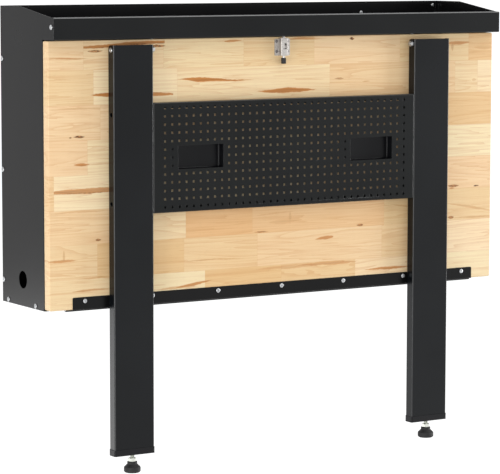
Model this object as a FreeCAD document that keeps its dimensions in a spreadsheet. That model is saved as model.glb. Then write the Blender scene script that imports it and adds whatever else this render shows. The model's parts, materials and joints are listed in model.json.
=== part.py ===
import FreeCAD, Part
import Sketcher
import math
import os

# Folding wall workbench, closed: a steel cabinet with a tool tray on top, a timber worktop that
# folds down in front of it on a continuous hinge, and a pair of channel legs joined by a
# perforated panel that hang from the worktop. Millimetres. X runs to the right and Z up. The
# cabinet's back lies on Y = 0, against the wall, and the front faces -Y. The origin is the
# middle of the four wall bolt holes.

SIZES = {
    # Wall cabinet
    "case_width": 1220.0,           # over both side panels
    "case_height": 678.0,           # from the underside to the top of the back wall
    "case_depth": 210.0,            # wall to the side panels' front edge, below the tray
    "case_gauge": 1.2,              # sheet of the cabinet
    "case_bend": 2.6,               # outer radius of the cabinet's bends
    "side_return": 20.0,            # inward return on the side panels' front edge
    "side_flat_depth": 100.0,       # level top edge of a side panel, before it slopes
    "back_return": 15.0,            # side returns of the back panel
    "pan_return": 15.0,             # upturned edges of the bottom pan
    "seam_gap": 0.2,                # between sheets that lap or butt
    # Wall bolt holes in the back panel
    "wall_hole_spread": 800.0,
    "wall_hole_rise": 500.0,
    "wall_hole_low": 60.0,          # lower row above the underside
    "wall_hole_radius": 5.0,
    # Cable holes in the side panels
    "cable_radius": 20.0,
    "cable_depth": 103.5,
    "cable_height": 60.5,
    # Tray and its front rail
    "tray_depth": 263.5,            # wall to the rail's front face
    "tray_height": 606.0,           # underside of the rail
    "rail_height": 50.0,
    "rail_gauge": 1.5,
    "rail_bend": 3.0,
    "rail_foot": 30.0,              # return under the tray floor
    "rail_hem": 12.0,               # return along the top
    "rail_tab_depth": 24.0,
    "rail_tab_margin": 6.0,
    "tray_back_drop": 5.0,          # tray's rear upstand below the back wall's top
    # Side screws
    "side_screw_inset": 7.0,        # rear column, from the wall
    "side_screw_low": 51.0,
    "side_screw_pitch": 253.5,
    "side_screw_count": 3,
    "foot_screw_rear": 30.0,
    "foot_screw_front": 166.5,
    "foot_screw_height": 7.2,
    "lip_screw_depth": 252.0,
    "lip_screw_height": 635.0,
    "sheet_head_radius": 5.7,
    "sheet_head_height": 2.6,
    "sheet_shank_radius": 2.4,
    "sheet_shank_length": 9.0,
    "sheet_dome_share": 0.35,       # straight part of a head, as a share of its height
    # Rivets
    "rivet_head_radius": 4.6,
    "rivet_head_height": 1.8,
    "rivet_shank_radius": 2.0,
    "rivet_shank_length": 3.6,
    "rivet_dome_share": 0.5,
    "tray_rivet_inner": 380.0,
    "tray_rivet_outer": 598.0,
    "tray_rivet_low": 651.0,
    "tray_rivet_high": 667.0,
    "rail_rivet_spread": 716.0,
    "rail_rivet_depth": 252.0,
    "pan_rivet_spread": 1000.0,
    "pan_rivet_height": 8.5,
    "leaf_rivet_spread": 1000.0,
    "leaf_rivet_setback": 8.0,
    "hole_clearance": 0.1,
    # Continuous hinge
    "barrel_radius": 3.5,
    "pin_radius": 1.75,
    "pin_clearance": 0.05,
    "hinge_overhang": 8.0,          # barrel past each end of the strip
    "hinge_depth": 214.5,           # wall to the pin
    "knuckle_count": 15,
    "knuckle_gap": 0.4,
    "leaf_gauge": 1.2,
    "leaf_bend": 2.0,
    "leaf_corner": 3.0,
    "cabinet_leaf_depth": 18.0,
    "strip_length": 1106.0,
    "strip_height": 28.4,
    "strip_screw_pitch": 174.0,
    "strip_screw_count": 7,
    "strip_screw_height": 21.0,
    # Timber worktop
    "board_thickness": 25.1,
    "board_low": 2.8,               # lower edge above the cabinet's underside
    "board_top_gap": 2.0,           # upper edge below the rail
    "board_back_gap": 0.4,
    "board_corner": 4.0,
    "board_arris": 1.6,
    "pilot_radius": 1.8,
    "pilot_clearance": 0.05,
    "pilot_depth": 17.0,
    # Wood screws
    "wood_head_radius": 5.0,
    "wood_head_height": 2.4,
    "wood_shank_length": 15.0,
    "wood_dome_share": 0.35,
    # Latch
    "latch_plate_width": 42.0,
    "latch_plate_height": 38.5,
    "latch_plate_gauge": 1.5,
    "latch_low": 560.5,
    "latch_screw_across": 31.0,
    "latch_screw_up": 23.5,
    "latch_screw_inset": 9.5,
    "latch_screw_head": 3.4,
    "housing_width": 20.0,
    "housing_depth": 12.0,
    "housing_height": 40.5,
    "housing_wall": 1.5,
    "housing_corner": 2.4,
    "window_width": 9.5,
    "window_height": 13.3,
    "window_low": 15.0,
    "bolt_radius": 3.5,
    "bolt_tip_gap": 0.8,            # drawn bolt's tip below the rail
    "bolt_tip_chamfer": 1.2,
    "bolt_collar_radius": 4.3,
    "bolt_collar_low": 17.0,
    "bolt_collar_height": 9.5,
    "bolt_tail": 19.0,              # rod below the housing, knob included
    "bolt_clearance": 0.05,
    "keeper_clearance": 0.8,
    "knob_radius": 5.8,
    "knob_height": 13.5,
    "knob_round": 1.6,
    "knob_fit": 0.02,
    "spring_wire_radius": 0.4,
    "spring_gap": 0.1,
    "spring_turn_count": 5,
    "spring_point_count": 48,       # on each turn, where its gap is measured
    # Legs
    "leg_width": 102.0,
    "leg_depth": 25.8,
    "leg_spread": 718.0,            # between the legs' inner sides
    "leg_gap": 1.6,                 # timber to the legs' rear edge, clear of the hinge strip
    "leg_gauge": 1.5,
    "leg_bend": 3.0,
    "leg_lip": 12.0,
    "leg_top": 593.0,
    "leg_bottom": -334.0,
    "leg_top_round": 9.0,
    "leg_top_set_in": 2.1,
    "lip_relief": 13.0,             # rear lips stop this far below the pivot
    "access_radius": 5.5,
    # Leg pivots
    "pivot_drop": 11.0,             # below the legs' top
    "pivot_set_in": 14.3,           # in front of the legs' rear edge
    "pivot_radius": 4.0,
    "pivot_clearance": 0.05,
    "pivot_head_radius": 6.5,
    "pivot_head_height": 4.0,
    "pivot_dome_share": 0.3,
    "pivot_nut_across": 13.0,
    "pivot_nut_height": 6.5,
    "pivot_end": 9.0,
    "ear_gauge": 2.0,
    "bracket_bend": 3.0,
    "ear_radius": 9.0,
    "ear_gap": 0.6,
    "bracket_half_height": 9.0,
    "bracket_screw_inner": 15.0,
    "bracket_screw_outer": 36.0,
    # Leg caps and feet
    "cap_wall": 1.0,
    "cap_floor": 3.0,
    "cap_height": 14.5,
    "cap_corner": 3.6,
    "cap_clearance": 0.1,
    "insert_radius": 8.0,
    "insert_height": 8.0,
    "foot_radius": 5.0,
    "thread_clearance": 0.05,
    "stud_above_cap": 40.0,
    "stud_reach": 16.8,             # cap to the top of the foot
    "lock_nut_across": 17.0,
    "lock_nut_height": 8.0,
    "lock_nut_gap": 0.4,            # above the pad
    "pad_height": 25.0,
    "pad_base_radius": 18.5,
    "pad_top_radius": 11.5,
    "pad_collar_height": 5.5,
    "pad_skirt_height": 12.5,
    "pad_round": 1.0,
    "pad_chamfer": 2.6,
    "neck_radius": 3.5,
    "neck_length": 4.0,
    "button_radius": 5.5,
    "button_height": 3.0,
    "socket_clearance": 0.06,
    # Perforated panel
    "panel_height": 250.0,
    "panel_low": 211.8,
    "panel_gauge": 1.2,
    "panel_bend": 2.6,
    "panel_return": 20.0,
    "panel_edge_lip": 14.0,         # turned in behind the upper and lower rows of holes
    "panel_end_lip": 21.0,          # turned in at the legs
    "peg_size": 5.6,
    "peg_pitch": 18.8,
    "peg_column_count": 36,
    "peg_row_count": 13,
    "peg_low": 12.2,                # lowest row above the panel's lower edge
    "peg_side_margin": 4.7,         # plain sheet beside the outer columns
    "peg_edge_margin": 2.35,        # plain sheet beyond the outer rows
    "panel_screw_inset": 24.8,
    "panel_screw_back": 12.0,
    "panel_screw_radius": 2.5,
    "panel_head_radius": 4.4,
    "panel_head_height": 2.8,
    "panel_dome_share": 0.4,
    "panel_nut_across": 8.0,
    "panel_nut_height": 4.0,
    "panel_screw_end": 6.0,
    # Hand recesses
    "recess_width": 120.0,
    "recess_height": 54.0,
    "recess_spread": 470.0,
    "recess_low": 97.4,             # above the panel's lower edge
    "recess_depth": 21.0,
    "recess_gauge": 1.0,
    "recess_rim": 6.0,
    "recess_corner": 5.0,
    # How near two levels count as one when edges are picked
    "level_tolerance": 0.01,
}

X_AXIS = FreeCAD.Vector(1, 0, 0)
Y_AXIS = FreeCAD.Vector(0, 1, 0)
Z_AXIS = FreeCAD.Vector(0, 0, 1)
FULL_TURN = 360.0
PAN_RIVET_SHARES = (-0.5, 0.0, 0.5)
LEAF_RIVET_SHARES = (-0.5, -0.3, -0.1, 0.1, 0.3, 0.5)


class Size:
    """A value that keeps both its number and its formula over the sheet's cells."""

    def __init__(self, number, formula):
        self.number = number
        self.formula = formula

    def __neg__(self):
        return Size(-self.number, f"(-{self.formula})")

    def __add__(self, other):
        return Size(self.number + other.number, f"({self.formula} + {other.formula})")

    def __sub__(self, other):
        return Size(self.number - other.number, f"({self.formula} - {other.formula})")

    def __mul__(self, share):
        return Size(self.number * share, f"({self.formula} * {share})")

    def __truediv__(self, share):
        return Size(self.number / share, f"({self.formula} / {share})")

    def over(self, other):
        """This size divided by another one."""
        return Size(self.number / other.number, f"({self.formula} / {other.formula})")

    def times(self, other):
        """This size multiplied by another one."""
        return Size(self.number * other.number, f"({self.formula} * {other.formula})")


class Sizes:
    """The sheet of driving dimensions, one Size for each named cell."""

    def __init__(self, doc, table):
        self.sheet = doc.addObject("Spreadsheet::Sheet", "sizes")
        for row, (name, number) in enumerate(table.items(), start=1):
            self.sheet.set(f"A{row}", name)
            self.sheet.set(f"B{row}", str(number))
            self.sheet.setAlias(f"B{row}", name)
            setattr(self, name, Size(number, f"sizes.{name}"))


doc = FreeCAD.newDocument("folding_workbench")
s = Sizes(doc, SIZES)
doc.recompute()
ZERO = Size(0.0, "0")
pieces = []

# Levels and planes that several pieces share, as heights above the cabinet's underside and
# depths in front of the wall.
half_width = s.case_width / 2
inner_half = half_width - s.case_gauge - s.seam_gap
base_level = -(s.wall_hole_low + s.wall_hole_rise / 2)
side_front = s.tray_depth - s.rail_gauge - s.seam_gap
rail_top = s.tray_height + s.rail_height
tray_floor = s.tray_height + s.rail_gauge
board_back = s.case_depth + s.board_back_gap
board_face = board_back + s.board_thickness
board_top = s.tray_height - s.board_top_gap
hinge_height = s.board_low - s.barrel_radius
leg_rear = board_face + s.leg_gap
leg_face = leg_rear + s.leg_depth
leg_inner = s.leg_spread / 2
leg_centre = leg_inner + s.leg_width / 2
pivot_height = s.leg_top - s.pivot_drop
pivot_depth = leg_rear + s.pivot_set_in
cap_bottom = s.leg_bottom - s.cap_floor
latch_axis = board_face + s.latch_plate_gauge + s.housing_depth / 2
panel_half = leg_inner - s.seam_gap
screw_depth = leg_face - s.panel_screw_back
screw_levels = [
    s.panel_low + s.panel_screw_inset,
    s.panel_low + s.panel_height - s.panel_screw_inset,
]


def finish(piece):
    """Record a piece that is written out under its own label."""
    pieces.append(piece)
    return piece


def new_body(label, across=ZERO, depth=ZERO, height=ZERO):
    """A body whose own origin stands across, in front of and above the cabinet's underside."""
    body = doc.addObject("PartDesign::Body", label)
    body.Label = label
    body.setExpression("Placement.Base.x", across.formula)
    body.setExpression("Placement.Base.y", (-depth).formula)
    body.setExpression("Placement.Base.z", (base_level + height).formula)
    return body


def new_sketch(body, plane, offset=ZERO):
    """A sketch on one of the body's own planes. An offset on XZ runs forwards."""
    sketch = body.newObject("Sketcher::SketchObject", f"{body.Name}_sketch")
    support = next(item for item in body.Origin.OriginFeatures if item.Role == f"{plane}_Plane")
    sketch.AttachmentSupport = (support, [""])
    sketch.MapMode = "FlatFace"
    sketch.setExpression("AttachmentOffset.Base.z", offset.formula)
    return sketch


def constrain(sketch, kind, size, *where):
    """Add one dimension that follows a size."""
    index = sketch.addConstraint(Sketcher.Constraint(kind, *where, size.number))
    sketch.setExpression(f"Constraints[{index}]", size.formula)


def locate(sketch, geometry, point, across, up):
    """Hold a point of the sketch at its place from the sketch's origin."""
    constrain(sketch, "DistanceX", across, -1, 1, geometry, point)
    constrain(sketch, "DistanceY", up, -1, 1, geometry, point)


def corner_arc(before, corner, after, radius):
    """Where a round corner starts, ends and has its centre."""
    back = (before - corner).normalize()
    ahead = (after - corner).normalize()
    half = back.getAngle(ahead) / 2
    reach = radius / math.tan(half)
    centre = corner + (back + ahead).normalize() * (radius / math.sin(half))
    return corner + back * reach, corner + ahead * reach, centre


def draw_outline(sketch, corners):
    """Draw a closed outline. A corner is (across, up) or (across, up, radius)."""
    count = len(corners)
    points = [FreeCAD.Vector(corner[0].number, corner[1].number, 0) for corner in corners]
    starts = list(points)
    ends = list(points)
    centres = [None] * count
    for i, corner in enumerate(corners):
        if len(corner) > 2:
            ends[i], starts[i], centres[i] = corner_arc(
                points[i - 1], points[i], points[(i + 1) % count], corner[2].number)
    lines = []
    for i in range(count):
        edge = Part.LineSegment(starts[i], ends[(i + 1) % count])
        lines.append(sketch.addGeometry(edge))
    for i, corner in enumerate(corners):
        arriving = lines[i - 1]
        leaving = lines[i]
        if centres[i] is None:
            sketch.addConstraint(Sketcher.Constraint("Coincident", arriving, 2, leaving, 1))
            locate(sketch, leaving, 1, corner[0], corner[1])
            continue
        turn = (points[i] - points[i - 1]).cross(points[(i + 1) % count] - points[i]).z
        first = ends[i] - centres[i]
        last = starts[i] - centres[i]
        if turn < 0:
            first, last = last, first
        from_angle = math.atan2(first.y, first.x)
        to_angle = math.atan2(last.y, last.x)
        if to_angle < from_angle:
            to_angle += 2 * math.pi
        circle = Part.Circle(centres[i], Z_AXIS, corner[2].number)
        arc = sketch.addGeometry(Part.ArcOfCircle(circle, from_angle, to_angle))
        arc_in, arc_out = (1, 2) if turn > 0 else (2, 1)
        vertex = sketch.addGeometry(Part.Point(points[i]), True)
        sketch.addConstraint(Sketcher.Constraint("Tangent", arriving, 2, arc, arc_in))
        sketch.addConstraint(Sketcher.Constraint("Tangent", arc, arc_out, leaving, 1))
        sketch.addConstraint(Sketcher.Constraint("PointOnObject", vertex, 1, arriving))
        sketch.addConstraint(Sketcher.Constraint("PointOnObject", vertex, 1, leaving))
        constrain(sketch, "Radius", corner[2], arc)
        locate(sketch, vertex, 1, corner[0], corner[1])


def draw_box(sketch, left, right, low, high, radius=None):
    """Draw a rectangle, with round corners where a radius is given."""
    corners = [(left, low), (right, low), (right, high), (left, high)]
    if radius is not None:
        corners = [corner + (radius,) for corner in corners]
    draw_outline(sketch, corners)


def draw_circle(sketch, across, up, radius):
    """Draw a full circle."""
    centre = FreeCAD.Vector(across.number, up.number, 0)
    circle = sketch.addGeometry(Part.Circle(centre, Z_AXIS, radius.number))
    constrain(sketch, "Radius", radius, circle)
    locate(sketch, circle, 3, across, up)


def draw_hexagon(sketch, across_flats):
    """Draw a hexagon about the sketch's origin, two flats facing left and right."""
    flat = across_flats / 2
    tip = across_flats / math.sqrt(3)
    corners = [(flat, -tip / 2), (flat, tip / 2), (ZERO, tip)]
    corners += [(-flat, tip / 2), (-flat, -tip / 2), (ZERO, -tip)]
    draw_outline(sketch, corners)


def bent_sheet(path, gauge, bend):
    """Outline of a sheet whose outer face follows a path, with the metal on the left of it.

    The path's runs lie along the sketch's axes. Each bend has an outer radius of bend where it
    turns left, and the inner radius follows from the gauge.
    """
    ways = []
    for start, end in zip(path, path[1:]):
        across = end[0].number - start[0].number
        up = end[1].number - start[1].number
        length = math.hypot(across, up)
        ways.append((round(across / length), round(up / length)))
    outer = [path[0]]
    inner = [(path[0][0] - gauge * ways[0][1], path[0][1] + gauge * ways[0][0])]
    for point, before, after in zip(path[1:-1], ways, ways[1:]):
        across = point[0] - gauge * (before[1] + after[1])
        up = point[1] + gauge * (before[0] + after[0])
        outer.append((point[0], point[1], bend))
        inner.append((across, up, bend - gauge))
    outer.append(path[-1])
    inner.append((path[-1][0] - gauge * ways[-1][1], path[-1][1] + gauge * ways[-1][0]))
    return outer + inner[::-1]


def pad(body, sketch, length, reverse=False):
    """Raise a sketch into metal along its plane's direction, or against it."""
    feature = body.newObject("PartDesign::Pad", f"{body.Name}_pad")
    feature.Profile = sketch
    feature.setExpression("Length", length.formula)
    feature.Reversed = reverse
    doc.recompute()
    return feature


def cut(body, sketch, depth=None, reverse=False):
    """Cut a sketch away: right through both ways, or a stated depth one way."""
    before = body.Shape.Volume
    feature = body.newObject("PartDesign::Pocket", f"{body.Name}_pocket")
    feature.Profile = sketch
    if depth is None:
        feature.Type = "ThroughAll"
        feature.Midplane = True
    else:
        feature.setExpression("Length", depth.formula)
        feature.Reversed = reverse
    doc.recompute()
    if body.Shape.Volume >= before:
        raise RuntimeError(f"{body.Label}: a cut removes nothing")
    return feature


def revolve(body, sketch):
    """Turn a sketch about its own vertical axis."""
    feature = body.newObject("PartDesign::Revolution", f"{body.Name}_revolution")
    feature.Profile = sketch
    feature.ReferenceAxis = (sketch, ["V_Axis"])
    feature.Angle = FULL_TURN
    doc.recompute()
    return feature


def round_edges(body, radius, wanted):
    """Round the edges of the body for which wanted is true."""
    tip = body.Tip
    names = [f"Edge{i}" for i, edge in enumerate(tip.Shape.Edges, start=1) if wanted(edge)]
    feature = body.newObject("PartDesign::Fillet", f"{body.Name}_fillet")
    feature.Base = (tip, names)
    feature.setExpression("Radius", radius.formula)
    doc.recompute()
    return feature


def mirrored(label, source):
    """The right-hand twin of a left-hand piece, across the middle of the bench."""
    twin = doc.addObject("Part::Mirroring", label)
    twin.Label = label
    twin.Source = source
    twin.Normal = X_AXIS
    doc.recompute()
    return finish(twin)


def group(label, master, places, heading):
    """Separate copies of one fastener. Its +Z is turned to the heading."""
    copies = []
    for index, (across, depth, height) in enumerate(places):
        copy = doc.addObject("App::Link", f"{label}_{index + 1}")
        copy.LinkedObject = master
        way = heading if across.number <= 0 else FreeCAD.Vector(-heading.x, heading.y, heading.z)
        copy.Placement = FreeCAD.Placement(FreeCAD.Vector(), FreeCAD.Rotation(Z_AXIS, way))
        copy.setExpression("Placement.Base.x", across.formula)
        copy.setExpression("Placement.Base.y", (-depth).formula)
        copy.setExpression("Placement.Base.z", (base_level + height).formula)
        copies.append(copy)
    bundle = doc.addObject("Part::Compound", label)
    bundle.Label = label
    bundle.Links = copies
    doc.recompute()
    return finish(bundle)


def both_sides(places):
    """The places given for the left side, and their twins on the right."""
    return [(across * side, depth, height) for side in (1, -1) for across, depth, height in places]


def fastener(label, head_radius, head_height, shank_radius, shank_length, dome_share):
    """Master of a round-headed fastener: seat at its origin, head towards +Z."""
    body = doc.addObject("PartDesign::Body", label)
    body.Label = label
    sketch = new_sketch(body, "XZ")
    draw_outline(sketch, [
        (ZERO, -shank_length),
        (shank_radius, -shank_length),
        (shank_radius, ZERO),
        (head_radius, ZERO),
        (head_radius, head_height * dome_share),
        (head_radius - head_height * dome_share, head_height),
        (ZERO, head_height),
    ])
    revolve(body, sketch)
    return body


def hex_nut(label, across_flats, height, bore_radius):
    """Master of a hexagon nut that stands on its origin."""
    body = doc.addObject("PartDesign::Body", label)
    body.Label = label
    sketch = new_sketch(body, "XY")
    draw_hexagon(sketch, across_flats)
    draw_circle(sketch, ZERO, ZERO, bore_radius)
    pad(body, sketch, height)
    return body


# Where the fasteners of the cabinet go, as (depth, height) on its sides and (across, height)
# on its back
rear_screws = [
    (s.side_screw_inset, s.side_screw_low + s.side_screw_pitch * i)
    for i in range(SIZES["side_screw_count"])
]
foot_screws = [(depth, s.foot_screw_height) for depth in (s.foot_screw_rear, s.foot_screw_front)]
lip_screw = (s.lip_screw_depth, s.lip_screw_height)
sheet_hole = s.sheet_shank_radius + s.hole_clearance
rivet_hole = s.rivet_shank_radius + s.hole_clearance
tray_rivets = [(side, s.tray_rivet_high) for side in (-s.tray_rivet_outer, s.tray_rivet_outer)]
tray_rivets.append((s.tray_rivet_inner, s.tray_rivet_low))
pan_rivets = [s.pan_rivet_spread * share for share in PAN_RIVET_SHARES]
leaf_rivets = [s.leaf_rivet_spread * share for share in LEAF_RIVET_SHARES]


# Side panels
def make_side_panels():
    """Flat side with a sloping tray end, and a front return behind the worktop."""
    body = new_body("left_side_panel", -half_width)
    bend_line = s.case_depth - s.case_bend
    web = new_sketch(body, "YZ")
    draw_outline(web, [
        (-bend_line, ZERO),
        (ZERO, ZERO),
        (ZERO, s.case_height),
        (-s.side_flat_depth, s.case_height),
        (-side_front, rail_top - s.rail_gauge),
        (-side_front, s.tray_height),
        (-bend_line, s.tray_height),
    ])
    pad(body, web, s.case_gauge)
    front = new_sketch(body, "XY")
    lap = bend_line - s.case_gauge
    draw_outline(front, [
        (ZERO, -lap),
        (ZERO, -s.case_depth, s.case_bend),
        (s.side_return, -s.case_depth),
        (s.side_return, -(s.case_depth - s.case_gauge)),
        (s.case_gauge, -(s.case_depth - s.case_gauge), s.case_bend - s.case_gauge),
        (s.case_gauge, -lap),
    ])
    pad(body, front, board_top)
    holes = new_sketch(body, "YZ")
    draw_circle(holes, -s.cable_depth, s.cable_height, s.cable_radius)
    for depth, height in rear_screws + foot_screws + [lip_screw]:
        draw_circle(holes, -depth, height, sheet_hole)
    cut(body, holes)
    finish(body)
    mirrored("right_side_panel", body)


# Back panel
def make_back_panel():
    """Wall plate with side returns, drilled for the wall bolts and the rivets."""
    body = new_body("back_panel")
    section = new_sketch(body, "XY")
    draw_outline(section, bent_sheet([
        (inner_half, -s.back_return),
        (inner_half, ZERO),
        (-inner_half, ZERO),
        (-inner_half, -s.back_return),
    ], s.case_gauge, s.case_bend))
    pad(body, section, s.case_height)
    side_holes = new_sketch(body, "YZ")
    for depth, height in rear_screws:
        draw_circle(side_holes, -depth, height, sheet_hole)
    cut(body, side_holes)
    wall_holes = new_sketch(body, "XZ")
    for across in (-s.wall_hole_spread / 2, s.wall_hole_spread / 2):
        for height in (s.wall_hole_low, s.wall_hole_low + s.wall_hole_rise):
            draw_circle(wall_holes, across, height, s.wall_hole_radius)
    for across, height in tray_rivets:
        draw_circle(wall_holes, across, height, rivet_hole)
    for across in pan_rivets:
        draw_circle(wall_holes, across, s.pan_rivet_height, rivet_hole)
    cut(body, wall_holes)
    finish(body)


# Bottom pan
def make_bottom_pan():
    """Floor with upturned sides and back, level with the open worktop."""
    body = new_body("bottom_pan")
    pan_back = s.case_gauge + s.seam_gap
    pan_front = s.case_depth - s.case_bend - s.seam_gap
    pan_half = inner_half - s.case_bend - s.seam_gap
    section = new_sketch(body, "XZ", pan_back)
    draw_outline(section, bent_sheet([
        (-inner_half, s.pan_return),
        (-inner_half, ZERO),
        (inner_half, ZERO),
        (inner_half, s.pan_return),
    ], s.case_gauge, s.case_bend))
    pad(body, section, pan_front - pan_back)
    notch = new_sketch(body, "XY")
    notch_depth = s.back_return + s.seam_gap
    notch_side = inner_half - s.case_bend
    for left, right in ((-inner_half, -notch_side), (notch_side, inner_half)):
        draw_box(notch, left, right, -notch_depth, ZERO)
    cut(body, notch)
    upstand = new_sketch(body, "XZ", pan_back)
    draw_box(upstand, -pan_half, pan_half, ZERO, s.pan_return)
    pad(body, upstand, s.case_gauge)
    holes = new_sketch(body, "YZ")
    for depth, height in foot_screws:
        draw_circle(holes, -depth, height, sheet_hole)
    cut(body, holes)
    back_holes = new_sketch(body, "XZ")
    for across in pan_rivets:
        draw_circle(back_holes, across, s.pan_rivet_height, rivet_hole)
    cut(body, back_holes)
    floor_holes = new_sketch(body, "XY")
    for across in leaf_rivets:
        draw_circle(floor_holes, across, -(s.case_depth - s.leaf_rivet_setback), rivet_hole)
    cut(body, floor_holes)
    finish(body)


# Tray floor
def make_tray():
    """Floor of the tool tray, with its upstand against the back wall."""
    body = new_body("tray_floor", -inner_half)
    back = s.case_gauge + s.seam_gap
    section = new_sketch(body, "YZ")
    draw_outline(section, bent_sheet([
        (-side_front + s.rail_bend, tray_floor),
        (-back, tray_floor),
        (-back, s.case_height - s.tray_back_drop),
    ], s.case_gauge, s.case_bend))
    pad(body, section, inner_half * 2)
    notch = new_sketch(body, "XY", tray_floor)
    notch_depth = s.back_return + s.seam_gap
    notch_width = s.case_bend + s.seam_gap
    for left, right in ((ZERO, notch_width), (inner_half * 2 - notch_width, inner_half * 2)):
        draw_box(notch, left, right, -notch_depth, ZERO)
    cut(body, notch, s.case_height, True)
    rivets = new_sketch(body, "XZ")
    for across, height in tray_rivets:
        draw_circle(rivets, across + inner_half, height, rivet_hole)
    cut(body, rivets)
    floor_holes = new_sketch(body, "XY")
    for across in (-s.rail_rivet_spread / 2, s.rail_rivet_spread / 2):
        draw_circle(floor_holes, across + inner_half, -s.rail_rivet_depth, rivet_hole)
    draw_circle(floor_holes, inner_half, -latch_axis, s.bolt_radius + s.keeper_clearance)
    cut(body, floor_holes)
    finish(body)


# Front rail
def make_front_rail():
    """Folded lip of the tray, which keeps the latch bolt in its underside."""
    body = new_body("front_rail", -half_width)
    section = new_sketch(body, "YZ")
    draw_outline(section, bent_sheet([
        (-(s.tray_depth - s.rail_hem), rail_top),
        (-s.tray_depth, rail_top),
        (-s.tray_depth, s.tray_height),
        (-(s.tray_depth - s.rail_foot), s.tray_height),
    ], s.rail_gauge, s.rail_bend))
    pad(body, section, s.case_width)
    ends = new_sketch(body, "XY", s.tray_height)
    end_width = half_width - inner_half
    for left, right in ((ZERO, end_width), (s.case_width - end_width, s.case_width)):
        draw_box(ends, left, right, -(s.tray_depth - s.rail_gauge), ZERO)
    cut(body, ends, s.rail_height, True)
    for start in (end_width, s.case_width - end_width - s.rail_gauge):
        tab = new_sketch(body, "YZ", start)
        draw_box(
            tab, -(s.tray_depth - s.rail_gauge), -(s.tray_depth - s.rail_tab_depth),
            s.tray_height + s.rail_tab_margin, rail_top - s.rail_tab_margin)
        pad(body, tab, s.rail_gauge)
    tab_holes = new_sketch(body, "YZ")
    draw_circle(tab_holes, -lip_screw[0], lip_screw[1], sheet_hole)
    cut(body, tab_holes)
    foot_holes = new_sketch(body, "XY", s.tray_height)
    for across in (-s.rail_rivet_spread / 2, s.rail_rivet_spread / 2):
        draw_circle(foot_holes, across + half_width, -s.rail_rivet_depth, rivet_hole)
    draw_circle(foot_holes, half_width, -latch_axis, s.bolt_radius + s.keeper_clearance)
    cut(body, foot_holes, s.rail_gauge, True)
    finish(body)


# Cabinet fasteners
def make_cabinet_fasteners():
    """Side screws, and the rivets of the tray, the rail, the pan and the hinge."""
    screw = fastener(
        "sheet_screw_master", s.sheet_head_radius, s.sheet_head_height,
        s.sheet_shank_radius, s.sheet_shank_length, SIZES["sheet_dome_share"])
    left = [(-half_width, depth, height) for depth, height in rear_screws + foot_screws]
    left.append((-half_width, lip_screw[0], lip_screw[1]))
    group("left_side_screws", screw, left, -X_AXIS)
    right = [(-across, depth, height) for across, depth, height in left]
    group("right_side_screws", screw, right, -X_AXIS)
    inner_face = s.case_gauge * 2 + s.seam_gap
    flush = fastener(
        "flush_rivet_master", s.rivet_head_radius, s.rivet_head_height,
        s.rivet_shank_radius, inner_face, SIZES["rivet_dome_share"])
    places = [(across, inner_face, height) for across, height in tray_rivets]
    group("tray_rivets", flush, places, -Y_AXIS)
    places = [(across, inner_face, s.pan_rivet_height) for across in pan_rivets]
    group("pan_rivets", flush, places, -Y_AXIS)
    rivet = fastener(
        "rivet_master", s.rivet_head_radius, s.rivet_head_height,
        s.rivet_shank_radius, s.rivet_shank_length, SIZES["rivet_dome_share"])
    spread = s.rail_rivet_spread / 2
    places = [(across, s.rail_rivet_depth, s.tray_height) for across in (-spread, spread)]
    group("rail_rivets", rivet, places, -Z_AXIS)
    setback = s.case_depth - s.leaf_rivet_setback
    places = [(across, setback, s.case_gauge) for across in leaf_rivets]
    group("hinge_rivets", rivet, places, Z_AXIS)


knuckle_pitch = (s.strip_length + s.hinge_overhang * 2).over(s.knuckle_count)
bore_radius = s.pin_radius + s.pin_clearance


def add_knuckles(body, neck, first_share):
    """Add every second knuckle of the barrel, joined to the leaf by its neck."""
    start = knuckle_pitch * first_share + s.knuckle_gap / 2 - s.hinge_overhang
    length = knuckle_pitch - s.knuckle_gap
    web = new_sketch(body, "YZ", start)
    draw_outline(web, neck)
    features = [pad(body, web, length)]
    barrel = new_sketch(body, "YZ", start)
    draw_circle(barrel, ZERO, ZERO, s.barrel_radius)
    features.append(pad(body, barrel, length))
    copies = SIZES["knuckle_count"] // 2 - 1 + (1 if first_share == 0 else 0)
    pattern = body.newObject("PartDesign::LinearPattern", f"{body.Name}_knuckles")
    pattern.Originals = features
    pattern.Direction = (barrel, ["N_Axis"])
    pattern.setExpression("Length", (knuckle_pitch * (2 * copies)).formula)
    pattern.Occurrences = copies + 1
    body.Tip = pattern
    doc.recompute()
    bore = new_sketch(body, "YZ")
    draw_circle(bore, ZERO, ZERO, bore_radius)
    cut(body, bore)


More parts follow.
